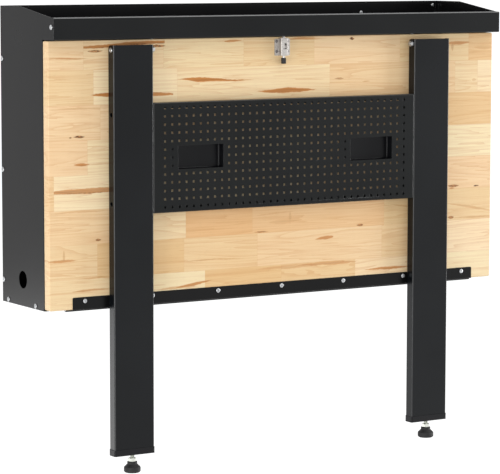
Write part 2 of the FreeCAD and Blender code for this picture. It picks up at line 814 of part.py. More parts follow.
# Continuous hinge
def make_hinge():
    """Two leaves with alternate knuckles on one long pin, drawn about the pin's axis."""
    start = -(s.strip_length / 2)
    rest = s.barrel_radius + s.knuckle_gap
    leaf_top = -hinge_height
    leaf = new_body("hinge_cabinet_leaf", start, s.hinge_depth, hinge_height)
    plate = new_sketch(leaf, "YZ", -s.hinge_overhang)
    draw_box(plate, rest, s.cabinet_leaf_depth, leaf_top - s.leaf_gauge, leaf_top)
    pad(leaf, plate, s.strip_length + s.hinge_overhang * 2)
    neck = [
        (ZERO, leaf_top - s.leaf_gauge), (rest, leaf_top - s.leaf_gauge),
        (rest, leaf_top), (ZERO, leaf_top),
    ]
    add_knuckles(leaf, neck, 0)
    rivets = new_sketch(leaf, "XY")
    for across in leaf_rivets:
        draw_circle(rivets, across - start, s.hinge_depth - s.case_depth + s.leaf_rivet_setback, rivet_hole)
    cut(leaf, rivets)
    finish(leaf)

    strip = new_body("hinge_worktop_leaf", start, s.hinge_depth, hinge_height)
    strip_face = board_face + s.leaf_gauge - s.hinge_depth
    foot_low = s.barrel_radius - s.leaf_gauge
    foot_end = s.barrel_radius
    section = new_sketch(strip, "YZ")
    draw_outline(section, bent_sheet([
        (-strip_face, foot_low + s.strip_height),
        (-strip_face, foot_low),
        (-foot_end, foot_low),
    ], s.leaf_gauge, s.leaf_bend))
    pad(strip, section, s.strip_length)
    top = (foot_low + s.strip_height).number
    round_edges(strip, s.leaf_corner, lambda edge: along_depth(edge, top))
    neck = [(-foot_end, foot_low), (ZERO, foot_low), (ZERO, s.barrel_radius), (-foot_end, s.barrel_radius)]
    add_knuckles(strip, neck, 1)
    holes = new_sketch(strip, "XZ", strip_face)
    for across in strip_screws():
        level = s.strip_screw_height - hinge_height
        draw_circle(holes, across - start, level, s.pilot_radius + s.hole_clearance)
    cut(strip, holes, s.leaf_gauge * 2)
    finish(strip)

    pin = new_body("hinge_pin", start - s.hinge_overhang, s.hinge_depth, hinge_height)
    rod = new_sketch(pin, "YZ")
    draw_circle(rod, ZERO, ZERO, s.pin_radius)
    pad(pin, rod, s.strip_length + s.hinge_overhang * 2)
    finish(pin)


def along_depth(edge, height):
    """Whether an edge is short, runs front to back and lies at a height."""
    ends = [vertex.Point for vertex in edge.Vertexes]
    if len(ends) < 2:
        return False
    near = SIZES["level_tolerance"]
    level = all(abs(point.z - height) < near for point in ends)
    return level and abs(ends[0].x - ends[1].x) < near


def strip_screws():
    """Places of the strip's screws along the bench."""
    middle = (SIZES["strip_screw_count"] - 1) / 2
    return [s.strip_screw_pitch * (i - middle) for i in range(SIZES["strip_screw_count"])]


def bracket_screws():
    """Places of the bracket screws along the bench, both legs."""
    offsets = (-s.bracket_screw_outer, -s.bracket_screw_inner, s.bracket_screw_inner, s.bracket_screw_outer)
    return [centre + offset for centre in (-leg_centre, leg_centre) for offset in offsets]


def latch_screws():
    """Places of the latch plate's screws, as (across, height)."""
    low = s.latch_low + s.latch_screw_inset
    return [
        (across, height)
        for across in (-s.latch_screw_across / 2, s.latch_screw_across / 2)
        for height in (low, low + s.latch_screw_up)
    ]


# Worktop
def make_worktop():
    """Laminated timber board with softened edges and pilot holes for its fittings."""
    body = new_body("worktop")
    face = new_sketch(body, "XZ", board_back)
    draw_box(face, -half_width, half_width, s.board_low, board_top, s.board_corner)
    pad(body, face, s.board_thickness)
    planes = (-board_back.number, -board_face.number)
    near = SIZES["level_tolerance"]

    def on_a_face(edge):
        box = edge.BoundBox
        return box.YLength < near and any(abs(box.YMin - plane) < near for plane in planes)

    round_edges(body, s.board_arris, on_a_face)
    pilots = new_sketch(body, "XZ", board_face)
    hole = s.pilot_radius + s.pilot_clearance
    for across in strip_screws():
        draw_circle(pilots, across, s.strip_screw_height, hole)
    for across in bracket_screws():
        draw_circle(pilots, across, pivot_height, hole)
    for across, height in latch_screws():
        draw_circle(pilots, across, height, hole)
    cut(body, pilots, s.pilot_depth)
    finish(body)
    screw = fastener(
        "wood_screw_master", s.wood_head_radius, s.wood_head_height,
        s.pilot_radius, s.wood_shank_length, SIZES["wood_dome_share"])
    strip_face = board_face + s.leaf_gauge
    group("hinge_screws", screw, [(x, strip_face, s.strip_screw_height) for x in strip_screws()], -Y_AXIS)
    bracket_face = board_face + s.ear_gauge
    group("leg_bracket_screws", screw, [(x, bracket_face, pivot_height) for x in bracket_screws()], -Y_AXIS)
    small = fastener(
        "latch_screw_master", s.latch_screw_head, s.latch_plate_gauge,
        s.pilot_radius, s.wood_shank_length, SIZES["wood_dome_share"])
    plate_face = board_face + s.latch_plate_gauge
    group("latch_screws", small, [(x, plate_face, z) for x, z in latch_screws()], -Y_AXIS)


# Latch
def make_latch():
    """Spring bolt in a pressed housing: plate, housing, bolt, knob and spring."""
    plate = new_body("latch_plate", height=s.latch_low)
    face = new_sketch(plate, "XZ", board_face)
    half = s.latch_plate_width / 2
    draw_box(face, -half, half, ZERO, s.latch_plate_height, s.housing_corner)
    for across, height in latch_screws():
        draw_circle(face, across, height - s.latch_low, s.pilot_radius + s.hole_clearance)
    pad(plate, face, s.latch_plate_gauge)
    finish(plate)

    housing = new_body("latch_housing", height=s.latch_low)
    half = s.housing_width / 2
    back = board_face + s.latch_plate_gauge
    front = back + s.housing_depth
    outline = new_sketch(housing, "XY")
    draw_outline(outline, [
        (-half, -back), (-half, -front, s.housing_corner),
        (half, -front, s.housing_corner), (half, -back),
    ])
    pad(housing, outline, s.housing_height)
    hollow = new_sketch(housing, "XZ", back)
    inside = half - s.housing_wall
    draw_box(hollow, -inside, inside, s.housing_wall, s.housing_height - s.housing_wall)
    cut(housing, hollow, s.housing_depth - s.housing_wall, True)
    window = new_sketch(housing, "XZ", front)
    reach = s.window_width / 2
    draw_box(window, -reach, reach, s.window_low, s.window_low + s.window_height, s.housing_wall)
    cut(housing, window, s.housing_wall * 2)
    bore = new_sketch(housing, "XY")
    draw_circle(bore, ZERO, -latch_axis, s.bolt_radius + s.bolt_clearance)
    cut(housing, bore)
    finish(housing)

    tip = s.tray_height - s.bolt_tip_gap - s.latch_low
    bolt = new_body("latch_bolt", depth=latch_axis, height=s.latch_low)
    profile = new_sketch(bolt, "XZ")
    collar_top = s.bolt_collar_low + s.bolt_collar_height
    draw_outline(profile, [
        (ZERO, -s.bolt_tail + s.knob_height / 2),
        (s.bolt_radius, -s.bolt_tail + s.knob_height / 2),
        (s.bolt_radius, s.bolt_collar_low),
        (s.bolt_collar_radius, s.bolt_collar_low),
        (s.bolt_collar_radius, collar_top),
        (s.bolt_radius, collar_top),
        (s.bolt_radius, tip - s.bolt_tip_chamfer),
        (s.bolt_radius - s.bolt_tip_chamfer, tip),
        (ZERO, tip),
    ])
    revolve(bolt, profile)
    finish(bolt)

    knob = new_body("latch_knob", depth=latch_axis, height=s.latch_low - s.bolt_tail)
    profile = new_sketch(knob, "XZ")
    socket = s.bolt_radius + s.knob_fit
    draw_outline(profile, [
        (ZERO, ZERO),
        (s.knob_radius - s.knob_round, ZERO),
        (s.knob_radius, s.knob_round),
        (s.knob_radius, s.knob_height - s.knob_round),
        (s.knob_radius - s.knob_round, s.knob_height),
        (socket, s.knob_height),
        (socket, s.knob_height / 2),
        (ZERO, s.knob_height / 2),
    ])
    revolve(knob, profile)
    finish(knob)

    coil_radius = s.bolt_radius + s.spring_gap + s.spring_wire_radius
    low = s.housing_wall + s.spring_wire_radius + s.spring_gap
    high = s.bolt_collar_low - s.spring_wire_radius - s.spring_gap
    spring = doc.addObject("Part::Feature", "latch_spring")
    spring.Label = "latch_spring"
    spring.Shape = coil(
        coil_radius.number, s.spring_wire_radius.number, low.number, high.number,
        SIZES["spring_turn_count"])
    spring.Placement = FreeCAD.Placement()
    spring.setExpression("Placement.Base.y", (-latch_axis).formula)
    spring.setExpression("Placement.Base.z", (base_level + s.latch_low).formula)
    finish(spring)


def coil(radius, wire_radius, low, high, turns):
    """Tube round a rising circle, as half-turn arcs through points of the helix."""
    def point(turn):
        angle = 2 * math.pi * turn
        rise = low + (high - low) * turn / turns
        return FreeCAD.Vector(radius * math.cos(angle), radius * math.sin(angle), rise)

    edges = []
    for half in range(turns * 2):
        start = half / 2
        arc = Part.Arc(point(start), point(start + 1 / 4), point(start + 1 / 2))
        edges.append(arc.toShape())
    spine = Part.Wire(edges)
    section = Part.Wire(Part.Circle(point(0), Y_AXIS, wire_radius).toShape())
    tube = Part.BRepOffsetAPI.MakePipeShell(spine)
    tube.add(section)
    tube.build()
    tube.makeSolid()
    points = spine.discretize(turns * SIZES["spring_point_count"])
    apart = SIZES["spring_point_count"] // 2
    gap = min(
        here.distanceToPoint(there)
        for index, here in enumerate(points) for there in points[index + apart:])
    print(f"latch_spring: least gap to itself {gap - wire_radius * 2:.2f} mm")
    return tube.shape()


# Leg brackets
def make_brackets():
    """Channel-shaped pivot brackets screwed to the timber, one inside each leg."""
    body = new_body("left_leg_bracket", -leg_centre)
    half = s.leg_width / 2 - s.leg_gauge - s.ear_gap
    reach = pivot_depth + s.ear_radius
    low = pivot_height - s.bracket_half_height
    section = new_sketch(body, "XY", low)
    draw_outline(section, bent_sheet([
        (-half, -reach),
        (-half, -board_face),
        (half, -board_face),
        (half, -reach),
    ][::-1], s.ear_gauge, s.bracket_bend))
    pad(body, section, s.bracket_half_height * 2)
    nose = new_sketch(body, "YZ", -half)
    back = -(pivot_depth + s.ear_gauge)
    top = s.bracket_half_height * 2 + low
    draw_outline(nose, [
        (back, low - s.ear_radius),
        (back, low),
        (-reach, low, s.ear_radius - s.hole_clearance),
        (-reach, top, s.ear_radius - s.hole_clearance),
        (back, top),
        (back, top + s.ear_radius),
        (-reach - s.ear_radius, top + s.ear_radius),
        (-reach - s.ear_radius, low - s.ear_radius),
    ])
    cut(body, nose, half * 2, True)
    bores = new_sketch(body, "YZ")
    draw_circle(bores, -pivot_depth, pivot_height, s.pivot_radius + s.pivot_clearance)
    cut(body, bores)
    screw_holes = new_sketch(body, "XZ", board_face)
    for side in (-1, 1):
        for offset in (s.bracket_screw_inner, s.bracket_screw_outer):
            draw_circle(screw_holes, offset * side, pivot_height, s.pilot_radius + s.hole_clearance)
    cut(body, screw_holes, s.ear_gauge * 2, True)
    finish(body)
    mirrored("right_leg_bracket", body)


# Legs
def make_legs():
    """Channel legs with rear lips, rounded at the pivot and drilled for the panel screws."""
    body = new_body("left_leg", -leg_centre)
    half = s.leg_width / 2
    section = new_sketch(body, "XY", s.leg_bottom)
    draw_outline(section, bent_sheet([
        (-half + s.leg_lip, -leg_rear),
        (-half, -leg_rear),
        (-half, -leg_face),
        (half, -leg_face),
        (half, -leg_rear),
        (half - s.leg_lip, -leg_rear),
    ], s.leg_gauge, s.leg_bend))
    pad(body, section, s.leg_top - s.leg_bottom)
    relief = new_sketch(body, "YZ")
    rear = -(leg_rear + s.leg_top_set_in)
    behind = -(leg_rear - s.leg_gap)
    draw_outline(relief, [
        (rear, pivot_height - s.lip_relief),
        (behind, pivot_height - s.lip_relief),
        (behind, s.leg_top + s.pivot_drop),
        (-pivot_depth, s.leg_top + s.pivot_drop),
        (-pivot_depth, s.leg_top),
        (rear, s.leg_top, s.leg_top_round),
    ])
    cut(body, relief)
    pivot = new_sketch(body, "YZ")
    draw_circle(pivot, -pivot_depth, pivot_height, s.pivot_radius + s.pivot_clearance)
    cut(body, pivot)
    access = new_sketch(body, "YZ", -half)
    inner = new_sketch(body, "YZ", half)
    for height in screw_levels:
        draw_circle(access, -screw_depth, height, s.access_radius)
        draw_circle(inner, -screw_depth, height, s.panel_screw_radius + s.hole_clearance)
    cut(body, access, s.leg_gauge * 2, True)
    cut(body, inner, s.leg_gauge * 2)
    finish(body)
    mirrored("right_leg", body)

    bolt = fastener(
        "pivot_bolt_master", s.pivot_head_radius, s.pivot_head_height,
        s.pivot_radius, s.leg_width + s.pivot_end, SIZES["pivot_dome_share"])
    outer = -(leg_inner + s.leg_width)
    group("pivot_bolts", bolt, both_sides([(outer, pivot_depth, pivot_height)]), -X_AXIS)
    nut = hex_nut(
        "pivot_nut_master", s.pivot_nut_across, s.pivot_nut_height, s.pivot_radius + s.thread_clearance)
    group("pivot_nuts", nut, both_sides([(-leg_inner, pivot_depth, pivot_height)]), X_AXIS)


# Leg caps and threaded inserts
def make_caps():
    """Moulded cap on each leg, grooved for the channel's sheet, with a threaded insert."""
    middle = leg_rear + s.leg_depth / 2
    body = new_body("left_leg_cap", -leg_centre, middle, cap_bottom)
    half_across = s.leg_width / 2 + s.cap_clearance
    half_depth = s.leg_depth / 2 + s.cap_clearance
    outer = new_sketch(body, "XY")
    across = half_across + s.cap_wall
    depth = half_depth + s.cap_wall
    draw_box(outer, -across, across, -depth, depth, s.cap_corner)
    pad(body, outer, s.cap_height)
    groove = new_sketch(body, "XY", s.cap_floor)
    draw_box(groove, -half_across, half_across, -half_depth, half_depth, s.leg_bend)
    plug_across = s.leg_width / 2 - s.leg_gauge - s.cap_clearance
    plug_depth = s.leg_depth / 2 - s.leg_gauge - s.cap_clearance
    draw_box(groove, -plug_across, plug_across, -plug_depth, plug_depth, s.leg_bend - s.leg_gauge)
    cut(body, groove, s.cap_height, True)
    pocket = new_sketch(body, "XY", s.cap_height - s.insert_height)
    draw_circle(pocket, ZERO, ZERO, s.insert_radius + s.thread_clearance)
    cut(body, pocket, s.cap_height, True)
    bore = new_sketch(body, "XY")
    draw_circle(bore, ZERO, ZERO, s.foot_radius + s.keeper_clearance)
    cut(body, bore)
    finish(body)
    mirrored("right_leg_cap", body)

    insert_low = cap_bottom + s.cap_height - s.insert_height
    insert = new_body("left_threaded_insert", -leg_centre, middle, insert_low)
    ring = new_sketch(insert, "XY")
    draw_circle(ring, ZERO, ZERO, s.insert_radius)
    draw_circle(ring, ZERO, ZERO, s.foot_radius + s.thread_clearance)
    pad(insert, ring, s.insert_height)
    finish(insert)
    mirrored("right_threaded_insert", insert)


# Levelling feet
def make_feet():
    """Stud with a button end, lock nut and bell-shaped pad that turns on the button."""
    middle = leg_rear + s.leg_depth / 2
    pad_top = cap_bottom - s.stud_reach
    stud = new_body("left_foot_stud", -leg_centre, middle, pad_top)
    profile = new_sketch(stud, "XZ")
    draw_outline(profile, [
        (ZERO, s.stud_reach + s.stud_above_cap),
        (ZERO, -(s.neck_length + s.button_height)),
        (s.button_radius, -(s.neck_length + s.button_height)),
        (s.button_radius, -s.neck_length),
        (s.neck_radius, -s.neck_length),
        (s.neck_radius, s.socket_clearance),
        (s.foot_radius, s.socket_clearance),
        (s.foot_radius, s.stud_reach + s.stud_above_cap - s.bolt_tip_chamfer),
        (s.foot_radius - s.bolt_tip_chamfer, s.stud_reach + s.stud_above_cap),
    ])
    revolve(stud, profile)
    finish(stud)
    mirrored("right_foot_stud", stud)

    nut_low = pad_top + s.lock_nut_gap
    nut = new_body("left_lock_nut", -leg_centre, middle, nut_low)
    hexagon = new_sketch(nut, "XY")
    draw_hexagon(hexagon, s.lock_nut_across)
    draw_circle(hexagon, ZERO, ZERO, s.foot_radius + s.thread_clearance)
    pad(nut, hexagon, s.lock_nut_height)
    finish(nut)
    mirrored("right_lock_nut", nut)

    bell = new_body("left_foot_pad", -leg_centre, middle, pad_top)
    profile = new_sketch(bell, "XZ")
    room = s.socket_clearance
    draw_outline(profile, [
        (ZERO, -s.pad_height),
        (s.pad_base_radius - s.pad_chamfer, -s.pad_height),
        (s.pad_base_radius, -(s.pad_height - s.pad_chamfer)),
        (s.pad_base_radius, -(s.pad_height - s.pad_skirt_height)),
        (s.pad_top_radius, -s.pad_collar_height),
        (s.pad_top_radius, -s.pad_round),
        (s.pad_top_radius - s.pad_round, ZERO),
        (s.neck_radius + room, ZERO),
        (s.neck_radius + room, -(s.neck_length - room)),
        (s.button_radius + room, -(s.neck_length - room)),
        (s.button_radius + room, -(s.neck_length + s.button_height + room)),
        (ZERO, -(s.neck_length + s.button_height + room)),
    ])
    revolve(bell, profile)
    finish(bell)
    mirrored("right_foot_pad", bell)


# Perforated panel
def make_panel():
    """Pressed panel between the legs: four returns, rows of square holes, two openings."""
    frame = doc.addObject("PartDesign::Body", "panel_frame")
    frame.Label = "panel_frame"
    box = new_sketch(frame, "XZ")
    draw_box(box, -panel_half, panel_half, ZERO, s.panel_height, s.panel_bend)
    pad(frame, box, s.panel_return)
    front = -s.panel_return.number
    near = SIZES["level_tolerance"]

    def on_front(edge):
        return edge.BoundBox.YLength < near and abs(edge.BoundBox.YMin - front) < near

    round_edges(frame, s.panel_bend, on_front)
    hollow = new_sketch(frame, "XZ", s.panel_gauge)
    inside = panel_half - s.panel_gauge
    draw_box(
        hollow, -inside, inside, s.panel_gauge, s.panel_height - s.panel_gauge,
        s.panel_bend - s.panel_gauge)
    cut(frame, hollow, s.panel_return - s.panel_gauge * 2, True)
    mouth = new_sketch(frame, "XZ")
    draw_box(
        mouth, -(panel_half - s.panel_end_lip), panel_half - s.panel_end_lip,
        s.panel_edge_lip, s.panel_height - s.panel_edge_lip)
    cut(frame, mouth, s.panel_gauge * 2, True)
    opening = new_sketch(frame, "XZ", s.panel_return - s.panel_gauge * 2)
    beside = s.peg_size / 2 + s.peg_side_margin
    beyond = s.peg_size / 2 + s.peg_edge_margin
    half_field = s.peg_pitch * ((SIZES["peg_column_count"] - 1) / 2) + beside
    low = s.peg_low - beyond
    high = s.peg_low + s.peg_pitch * (SIZES["peg_row_count"] - 1) + beyond
    draw_box(opening, -half_field, half_field, low, high)
    cut(frame, opening, s.panel_gauge * 4, True)
    screws = new_sketch(frame, "YZ")
    for level in screw_levels:
        draw_circle(
            screws, -(s.panel_return - s.panel_screw_back), level - s.panel_low,
            s.panel_screw_radius + s.hole_clearance)
    cut(frame, screws)

    field = doc.addObject("Part::Feature", "peg_field")
    field.Shape = peg_field(half_field.number, low.number, high.number)
    panel = doc.addObject("Part::Fuse", "perforated_panel")
    panel.Label = "perforated_panel"
    panel.Base = frame
    panel.Tool = field
    panel.Refine = False
    panel.setExpression("Placement.Base.y", (-(leg_face - s.panel_return)).formula)
    panel.setExpression("Placement.Base.z", (base_level + s.panel_low).formula)
    doc.recompute()
    finish(panel)


def rectangle(left, right, low, high):
    """Closed upright rectangle on Y = 0."""
    corners = [(left, low), (right, low), (right, high), (left, high), (left, low)]
    return Part.makePolygon([FreeCAD.Vector(across, 0, up) for across, up in corners])


def peg_field(half_field, low, high):
    """Flat sheet with the rows of square holes and the two hand openings."""
    columns = SIZES["peg_column_count"]
    rows = SIZES["peg_row_count"]
    pitch = SIZES["peg_pitch"]
    half_peg = SIZES["peg_size"] / 2
    half_opening = SIZES["recess_width"] / 2
    opening_low = SIZES["recess_low"]
    opening_high = opening_low + SIZES["recess_height"]
    centres = [-SIZES["recess_spread"] / 2, SIZES["recess_spread"] / 2]
    wires = [rectangle(-half_field, half_field, low, high)]
    for centre in centres:
        wires.append(rectangle(centre - half_opening, centre + half_opening, opening_low, opening_high))
    for column in range(columns):
        across = (column - (columns - 1) / 2) * pitch
        beside = min(abs(across - centre) for centre in centres) < half_opening + half_peg
        for row in range(rows):
            up = SIZES["peg_low"] + row * pitch
            if beside and opening_low - half_peg < up < opening_high + half_peg:
                continue
            wires.append(rectangle(across - half_peg, across + half_peg, up - half_peg, up + half_peg))
    sheet = Part.Face(wires, "Part::FaceMakerBullseye")
    sheet.translate(FreeCAD.Vector(0, -SIZES["panel_return"], 0))
    return sheet.extrude(FreeCAD.Vector(0, SIZES["panel_gauge"], 0))


# Hand recesses
def make_recesses():
    """Pressed cups behind the panel's two openings, welded on by their rims."""
    level = s.panel_low + s.recess_low
    body = new_body("left_hand_recess", -(s.recess_spread / 2), leg_face - s.panel_gauge, level)
    half = s.recess_width / 2
    rim = new_sketch(body, "XZ")
    draw_box(
        rim, -(half + s.recess_rim), half + s.recess_rim, -s.recess_rim,
        s.recess_height + s.recess_rim, s.recess_corner)
    pad(body, rim, s.recess_gauge, True)
    cup = new_sketch(body, "XZ")
    draw_box(
        cup, -(half + s.recess_gauge), half + s.recess_gauge, -s.recess_gauge,
        s.recess_height + s.recess_gauge, s.recess_corner)
    pad(body, cup, s.recess_depth, True)
    hollow = new_sketch(body, "XZ")
    draw_box(hollow, -half, half, ZERO, s.recess_height, s.recess_corner - s.recess_gauge)
    cut(body, hollow, s.recess_depth - s.recess_gauge)
    finish(body)
    mirrored("right_hand_recess", body)

    screw = fastener(
        "panel_screw_master", s.panel_head_radius, s.panel_head_height, s.panel_screw_radius,
        s.leg_gauge + s.seam_gap + s.panel_gauge + s.panel_screw_end, SIZES["panel_dome_share"])
    head = -(leg_inner + s.leg_gauge)
    places = both_sides([(head, screw_depth, level) for level in screw_levels])
    group("panel_screws", screw, places, -X_AXIS)
    nut = hex_nut(
        "panel_nut_master", s.panel_nut_across, s.panel_nut_height,
        s.panel_screw_radius + s.thread_clearance)
    seat = -(panel_half - s.panel_gauge)
    group("panel_nuts", nut, both_sides([(seat, screw_depth, level) for level in screw_levels]), X_AXIS)


def check_document():
    """Stop if any object failed or any piece has no valid shape."""
    for item in doc.Objects:
        if {"Invalid", "Error"} & set(item.State):
            raise RuntimeError(f"{item.Label} failed: {item.State}")
    for piece in pieces:
        if piece.Shape.isNull() or not piece.Shape.isValid():
            raise RuntimeError(f"{piece.Label} has no valid shape")


def write_pieces():
    """Write one file for each piece, named by its label."""
    os.makedirs("parts", exist_ok=True)
    for piece in pieces:
        piece.Shape.exportStep(f"parts/{piece.Label}.step")


make_side_panels()
make_back_panel()
make_bottom_pan()
make_tray()
make_front_rail()
make_cabinet_fasteners()
make_hinge()
make_worktop()
make_latch()
make_brackets()
make_legs()
make_caps()
make_feet()
make_panel()
make_recesses()
doc.recompute()
check_document()
write_pieces()
print(f"{len(pieces)} pieces")
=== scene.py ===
"""Looks of a folding wall workbench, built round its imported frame.

The steel sheets keep the frame's own shapes and get their powder coat here. The timber worktop,
the screws, rivets, nuts, levelling feet, hand recesses and latch knob are drawn again as fine
surfaces that stand for the frame's plain ones.
"""

import json
import logging
import math
from dataclasses import dataclass
from enum import Enum
from typing import ClassVar

import bmesh
import bpy
import numpy as np
from mathutils import Matrix, Vector


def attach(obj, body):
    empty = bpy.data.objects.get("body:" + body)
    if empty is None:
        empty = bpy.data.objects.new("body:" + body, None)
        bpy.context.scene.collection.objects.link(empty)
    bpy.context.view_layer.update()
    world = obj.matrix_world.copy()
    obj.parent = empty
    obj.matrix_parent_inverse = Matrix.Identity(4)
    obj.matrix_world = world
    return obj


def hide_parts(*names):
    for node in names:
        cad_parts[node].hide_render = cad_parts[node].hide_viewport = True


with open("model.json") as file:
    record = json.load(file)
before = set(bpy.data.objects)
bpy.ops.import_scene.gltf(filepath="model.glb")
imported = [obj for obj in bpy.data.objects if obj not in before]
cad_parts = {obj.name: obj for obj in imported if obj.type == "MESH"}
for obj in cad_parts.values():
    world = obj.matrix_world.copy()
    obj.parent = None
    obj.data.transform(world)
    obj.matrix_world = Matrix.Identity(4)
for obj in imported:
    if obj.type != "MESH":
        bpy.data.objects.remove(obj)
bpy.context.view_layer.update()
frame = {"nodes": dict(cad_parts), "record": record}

MM = 0.001
WELD_GAP = 2e-6
FULL_TURN = 2.0 * math.pi
QUARTER_TURN = math.pi / 2
MIX_INPUTS = (0, 6, 7)
MIX_RESULT = 2
WHITE = (1.0, 1.0, 1.0)

Array = np.ndarray
Colour = tuple[float, float, float]
Place = tuple[float, float, float]
Value = bpy.types.NodeSocket | float | tuple[float, ...]

log = logging.getLogger("folding_workbench")


class Axis(Enum):
    """The way a fitting's own axis points, from its seat outwards."""

    LEFT = (-1.0, 0.0, 0.0)
    RIGHT = (1.0, 0.0, 0.0)
    FRONT = (0.0, -1.0, 0.0)
    UP = (0.0, 0.0, 1.0)
    DOWN = (0.0, 0.0, -1.0)


# Node trees


class Tree:
    """Short calls that add, set and join the nodes of one shader tree."""

    def __init__(self, tree: bpy.types.NodeTree) -> None:
        """Keep the tree that the calls work on."""
        self.tree = tree

    def feed(self, socket: bpy.types.NodeSocket, value: Value) -> None:
        """Join a socket to another one, or set it to a plain value.

        Args:
            socket: The input.
            value: What feeds it.
        """
        if isinstance(value, bpy.types.NodeSocket):
            self.tree.links.new(value, socket)
        else:
            socket.default_value = value

    def add(self, kind: str, **inputs: Value) -> bpy.types.Node:
        """Add a node and feed its inputs.

        Args:
            kind: Blender's name of the node type, without its leading ShaderNode.
            inputs: Values by input name, with spaces written as underscores.

        Returns:
            The new node.
        """
        node = self.tree.nodes.new(f"ShaderNode{kind}")
        for name, value in inputs.items():
            self.feed(node.inputs[name.replace("_", " ")], value)
        return node

    def math(self, operation: str, first: Value, second: Value = 0.0, third: Value = 0.0,
             clamp: bool = False) -> bpy.types.NodeSocket:
        """Add a Math node and return its value.

        Args:
            operation: Blender's name of the operation.
            first: The first number.
            second: The second number, where the operation has one.
            third: The third number, where it has one.
            clamp: Whether the result is kept between 0 and 1.

        Returns:
            The result.
        """
        node = self.add("Math")
        node.operation = operation
        node.use_clamp = clamp
        for socket, value in zip(node.inputs, (first, second, third)):
            self.feed(socket, value)
        return node.outputs[0]

    def product(self, *factors: Value) -> bpy.types.NodeSocket:
        """Multiply two or more numbers.

        Args:
            factors: The numbers, multiplied from the first on.

        Returns:
            The product.
        """
        total = factors[0]
        for factor in factors[1:]:
            total = self.math("MULTIPLY", total, factor)
        return total

    def vector(self, operation: str, first: Value, second: Value) -> bpy.types.Node:
        """Add a Vector Math node.

        Args:
            operation: Blender's name of the operation.
            first: The first vector.
            second: The second vector.

        Returns:
            The node.
        """
        node = self.add("VectorMath")
        node.operation = operation
        self.feed(node.inputs[0], first)
        self.feed(node.inputs[1], second)
        return node

    def scaled(self, where: Value, factors: tuple[float, ...]) -> bpy.types.NodeSocket:
        """Stretch or squeeze a place along each axis."""
        return self.vector("MULTIPLY", where, factors).outputs[0]

    def noise(self, where: Value, scale: Value, detail: float = 2.0,
              roughness: float = 0.5, distortion: float = 0.0) -> bpy.types.NodeSocket:
        """Add a Noise Texture and return its value from 0 to 1."""
        return self.add("TexNoise", Vector=where, Scale=scale, Detail=detail,
                        Roughness=roughness, Distortion=distortion).outputs[0]

    def span(self, value: Value, low: float, high: float, to_low: float = 0.0,
             to_high: float = 1.0) -> bpy.types.NodeSocket:
        """Add a smooth Map Range node and return its result.

        Args:
            value: The number to map.
            low: Where the smooth step starts.
            high: Where it ends.
            to_low: The result at and below low.
            to_high: The result at and above high.

        Returns:
            The mapped number.
        """
        node = self.add("MapRange")
        node.interpolation_type = "SMOOTHSTEP"
        for name, entry in zip(
                ("Value", "From Min", "From Max", "To Min", "To Max"),
                (value, low, high, to_low, to_high)):
            self.feed(node.inputs[name], entry)
        return node.outputs[0]

    def blend(self, share: Value, first: Value, second: Value,
              kind: str = "MIX") -> bpy.types.NodeSocket:
        """Mix two colours and return the result.

        Args:
            share: How much of the second colour there is.
            first: The first colour.
            second: The second colour.
            kind: Blender's name of the way they mix.

        Returns:
            The mixed colour.
        """
        node = self.add("Mix")
        node.data_type = "RGBA"
        node.blend_type = kind
        for index, entry in zip(MIX_INPUTS, (share, first, second)):
            if isinstance(entry, tuple) and len(entry) == 3:
                entry = entry + (1.0,)
            self.feed(node.inputs[index], entry)
        return node.outputs[MIX_RESULT]

    def parts(self, vector: Value) -> list[bpy.types.NodeSocket]:
        """Split a vector into its three numbers."""
        return list(self.add("SeparateXYZ", Vector=vector).outputs)

    def join(self, across: Value, depth: Value, up: Value) -> bpy.types.NodeSocket:
        """Make a vector of three numbers."""
        return self.add("CombineXYZ", X=across, Y=depth, Z=up).outputs[0]

    def group(self, shared: bpy.types.NodeTree, **inputs: Value) -> bpy.types.Node:
        """Place a shared group and feed its inputs.

        Args:
            shared: The group.
            inputs: Values by input name, with spaces written as underscores.

        Returns:
            The group's node.
        """
        node = self.add("Group")
        node.node_tree = shared
        for name, value in inputs.items():
            self.feed(node.inputs[name.replace("_", " ")], value)
        return node


def new_group(name: str, inputs: dict[str, str], outputs: dict[str, str]
              ) -> tuple[bpy.types.NodeTree, Tree, dict, dict]:
    """Start a shared shader group.

    Args:
        name: The group's name.
        inputs: Socket types by input name: Float, Vector or Color.
        outputs: Socket types by output name.

    Returns:
        The group, the calls that fill it, its inputs by name and its outputs by name.
    """
    shared = bpy.data.node_groups.new(name, "ShaderNodeTree")
    for label, kind in inputs.items():
        shared.interface.new_socket(label, in_out="INPUT", socket_type=f"NodeSocket{kind}")
    for label, kind in outputs.items():
        shared.interface.new_socket(label, in_out="OUTPUT", socket_type=f"NodeSocket{kind}")
    entry = shared.nodes.new("NodeGroupInput")
    leaving = shared.nodes.new("NodeGroupOutput")
    arrivals = {label: entry.outputs[label] for label in inputs}
    exits = {label: leaving.inputs[label] for label in outputs}
    return shared, Tree(shared), arrivals, exits


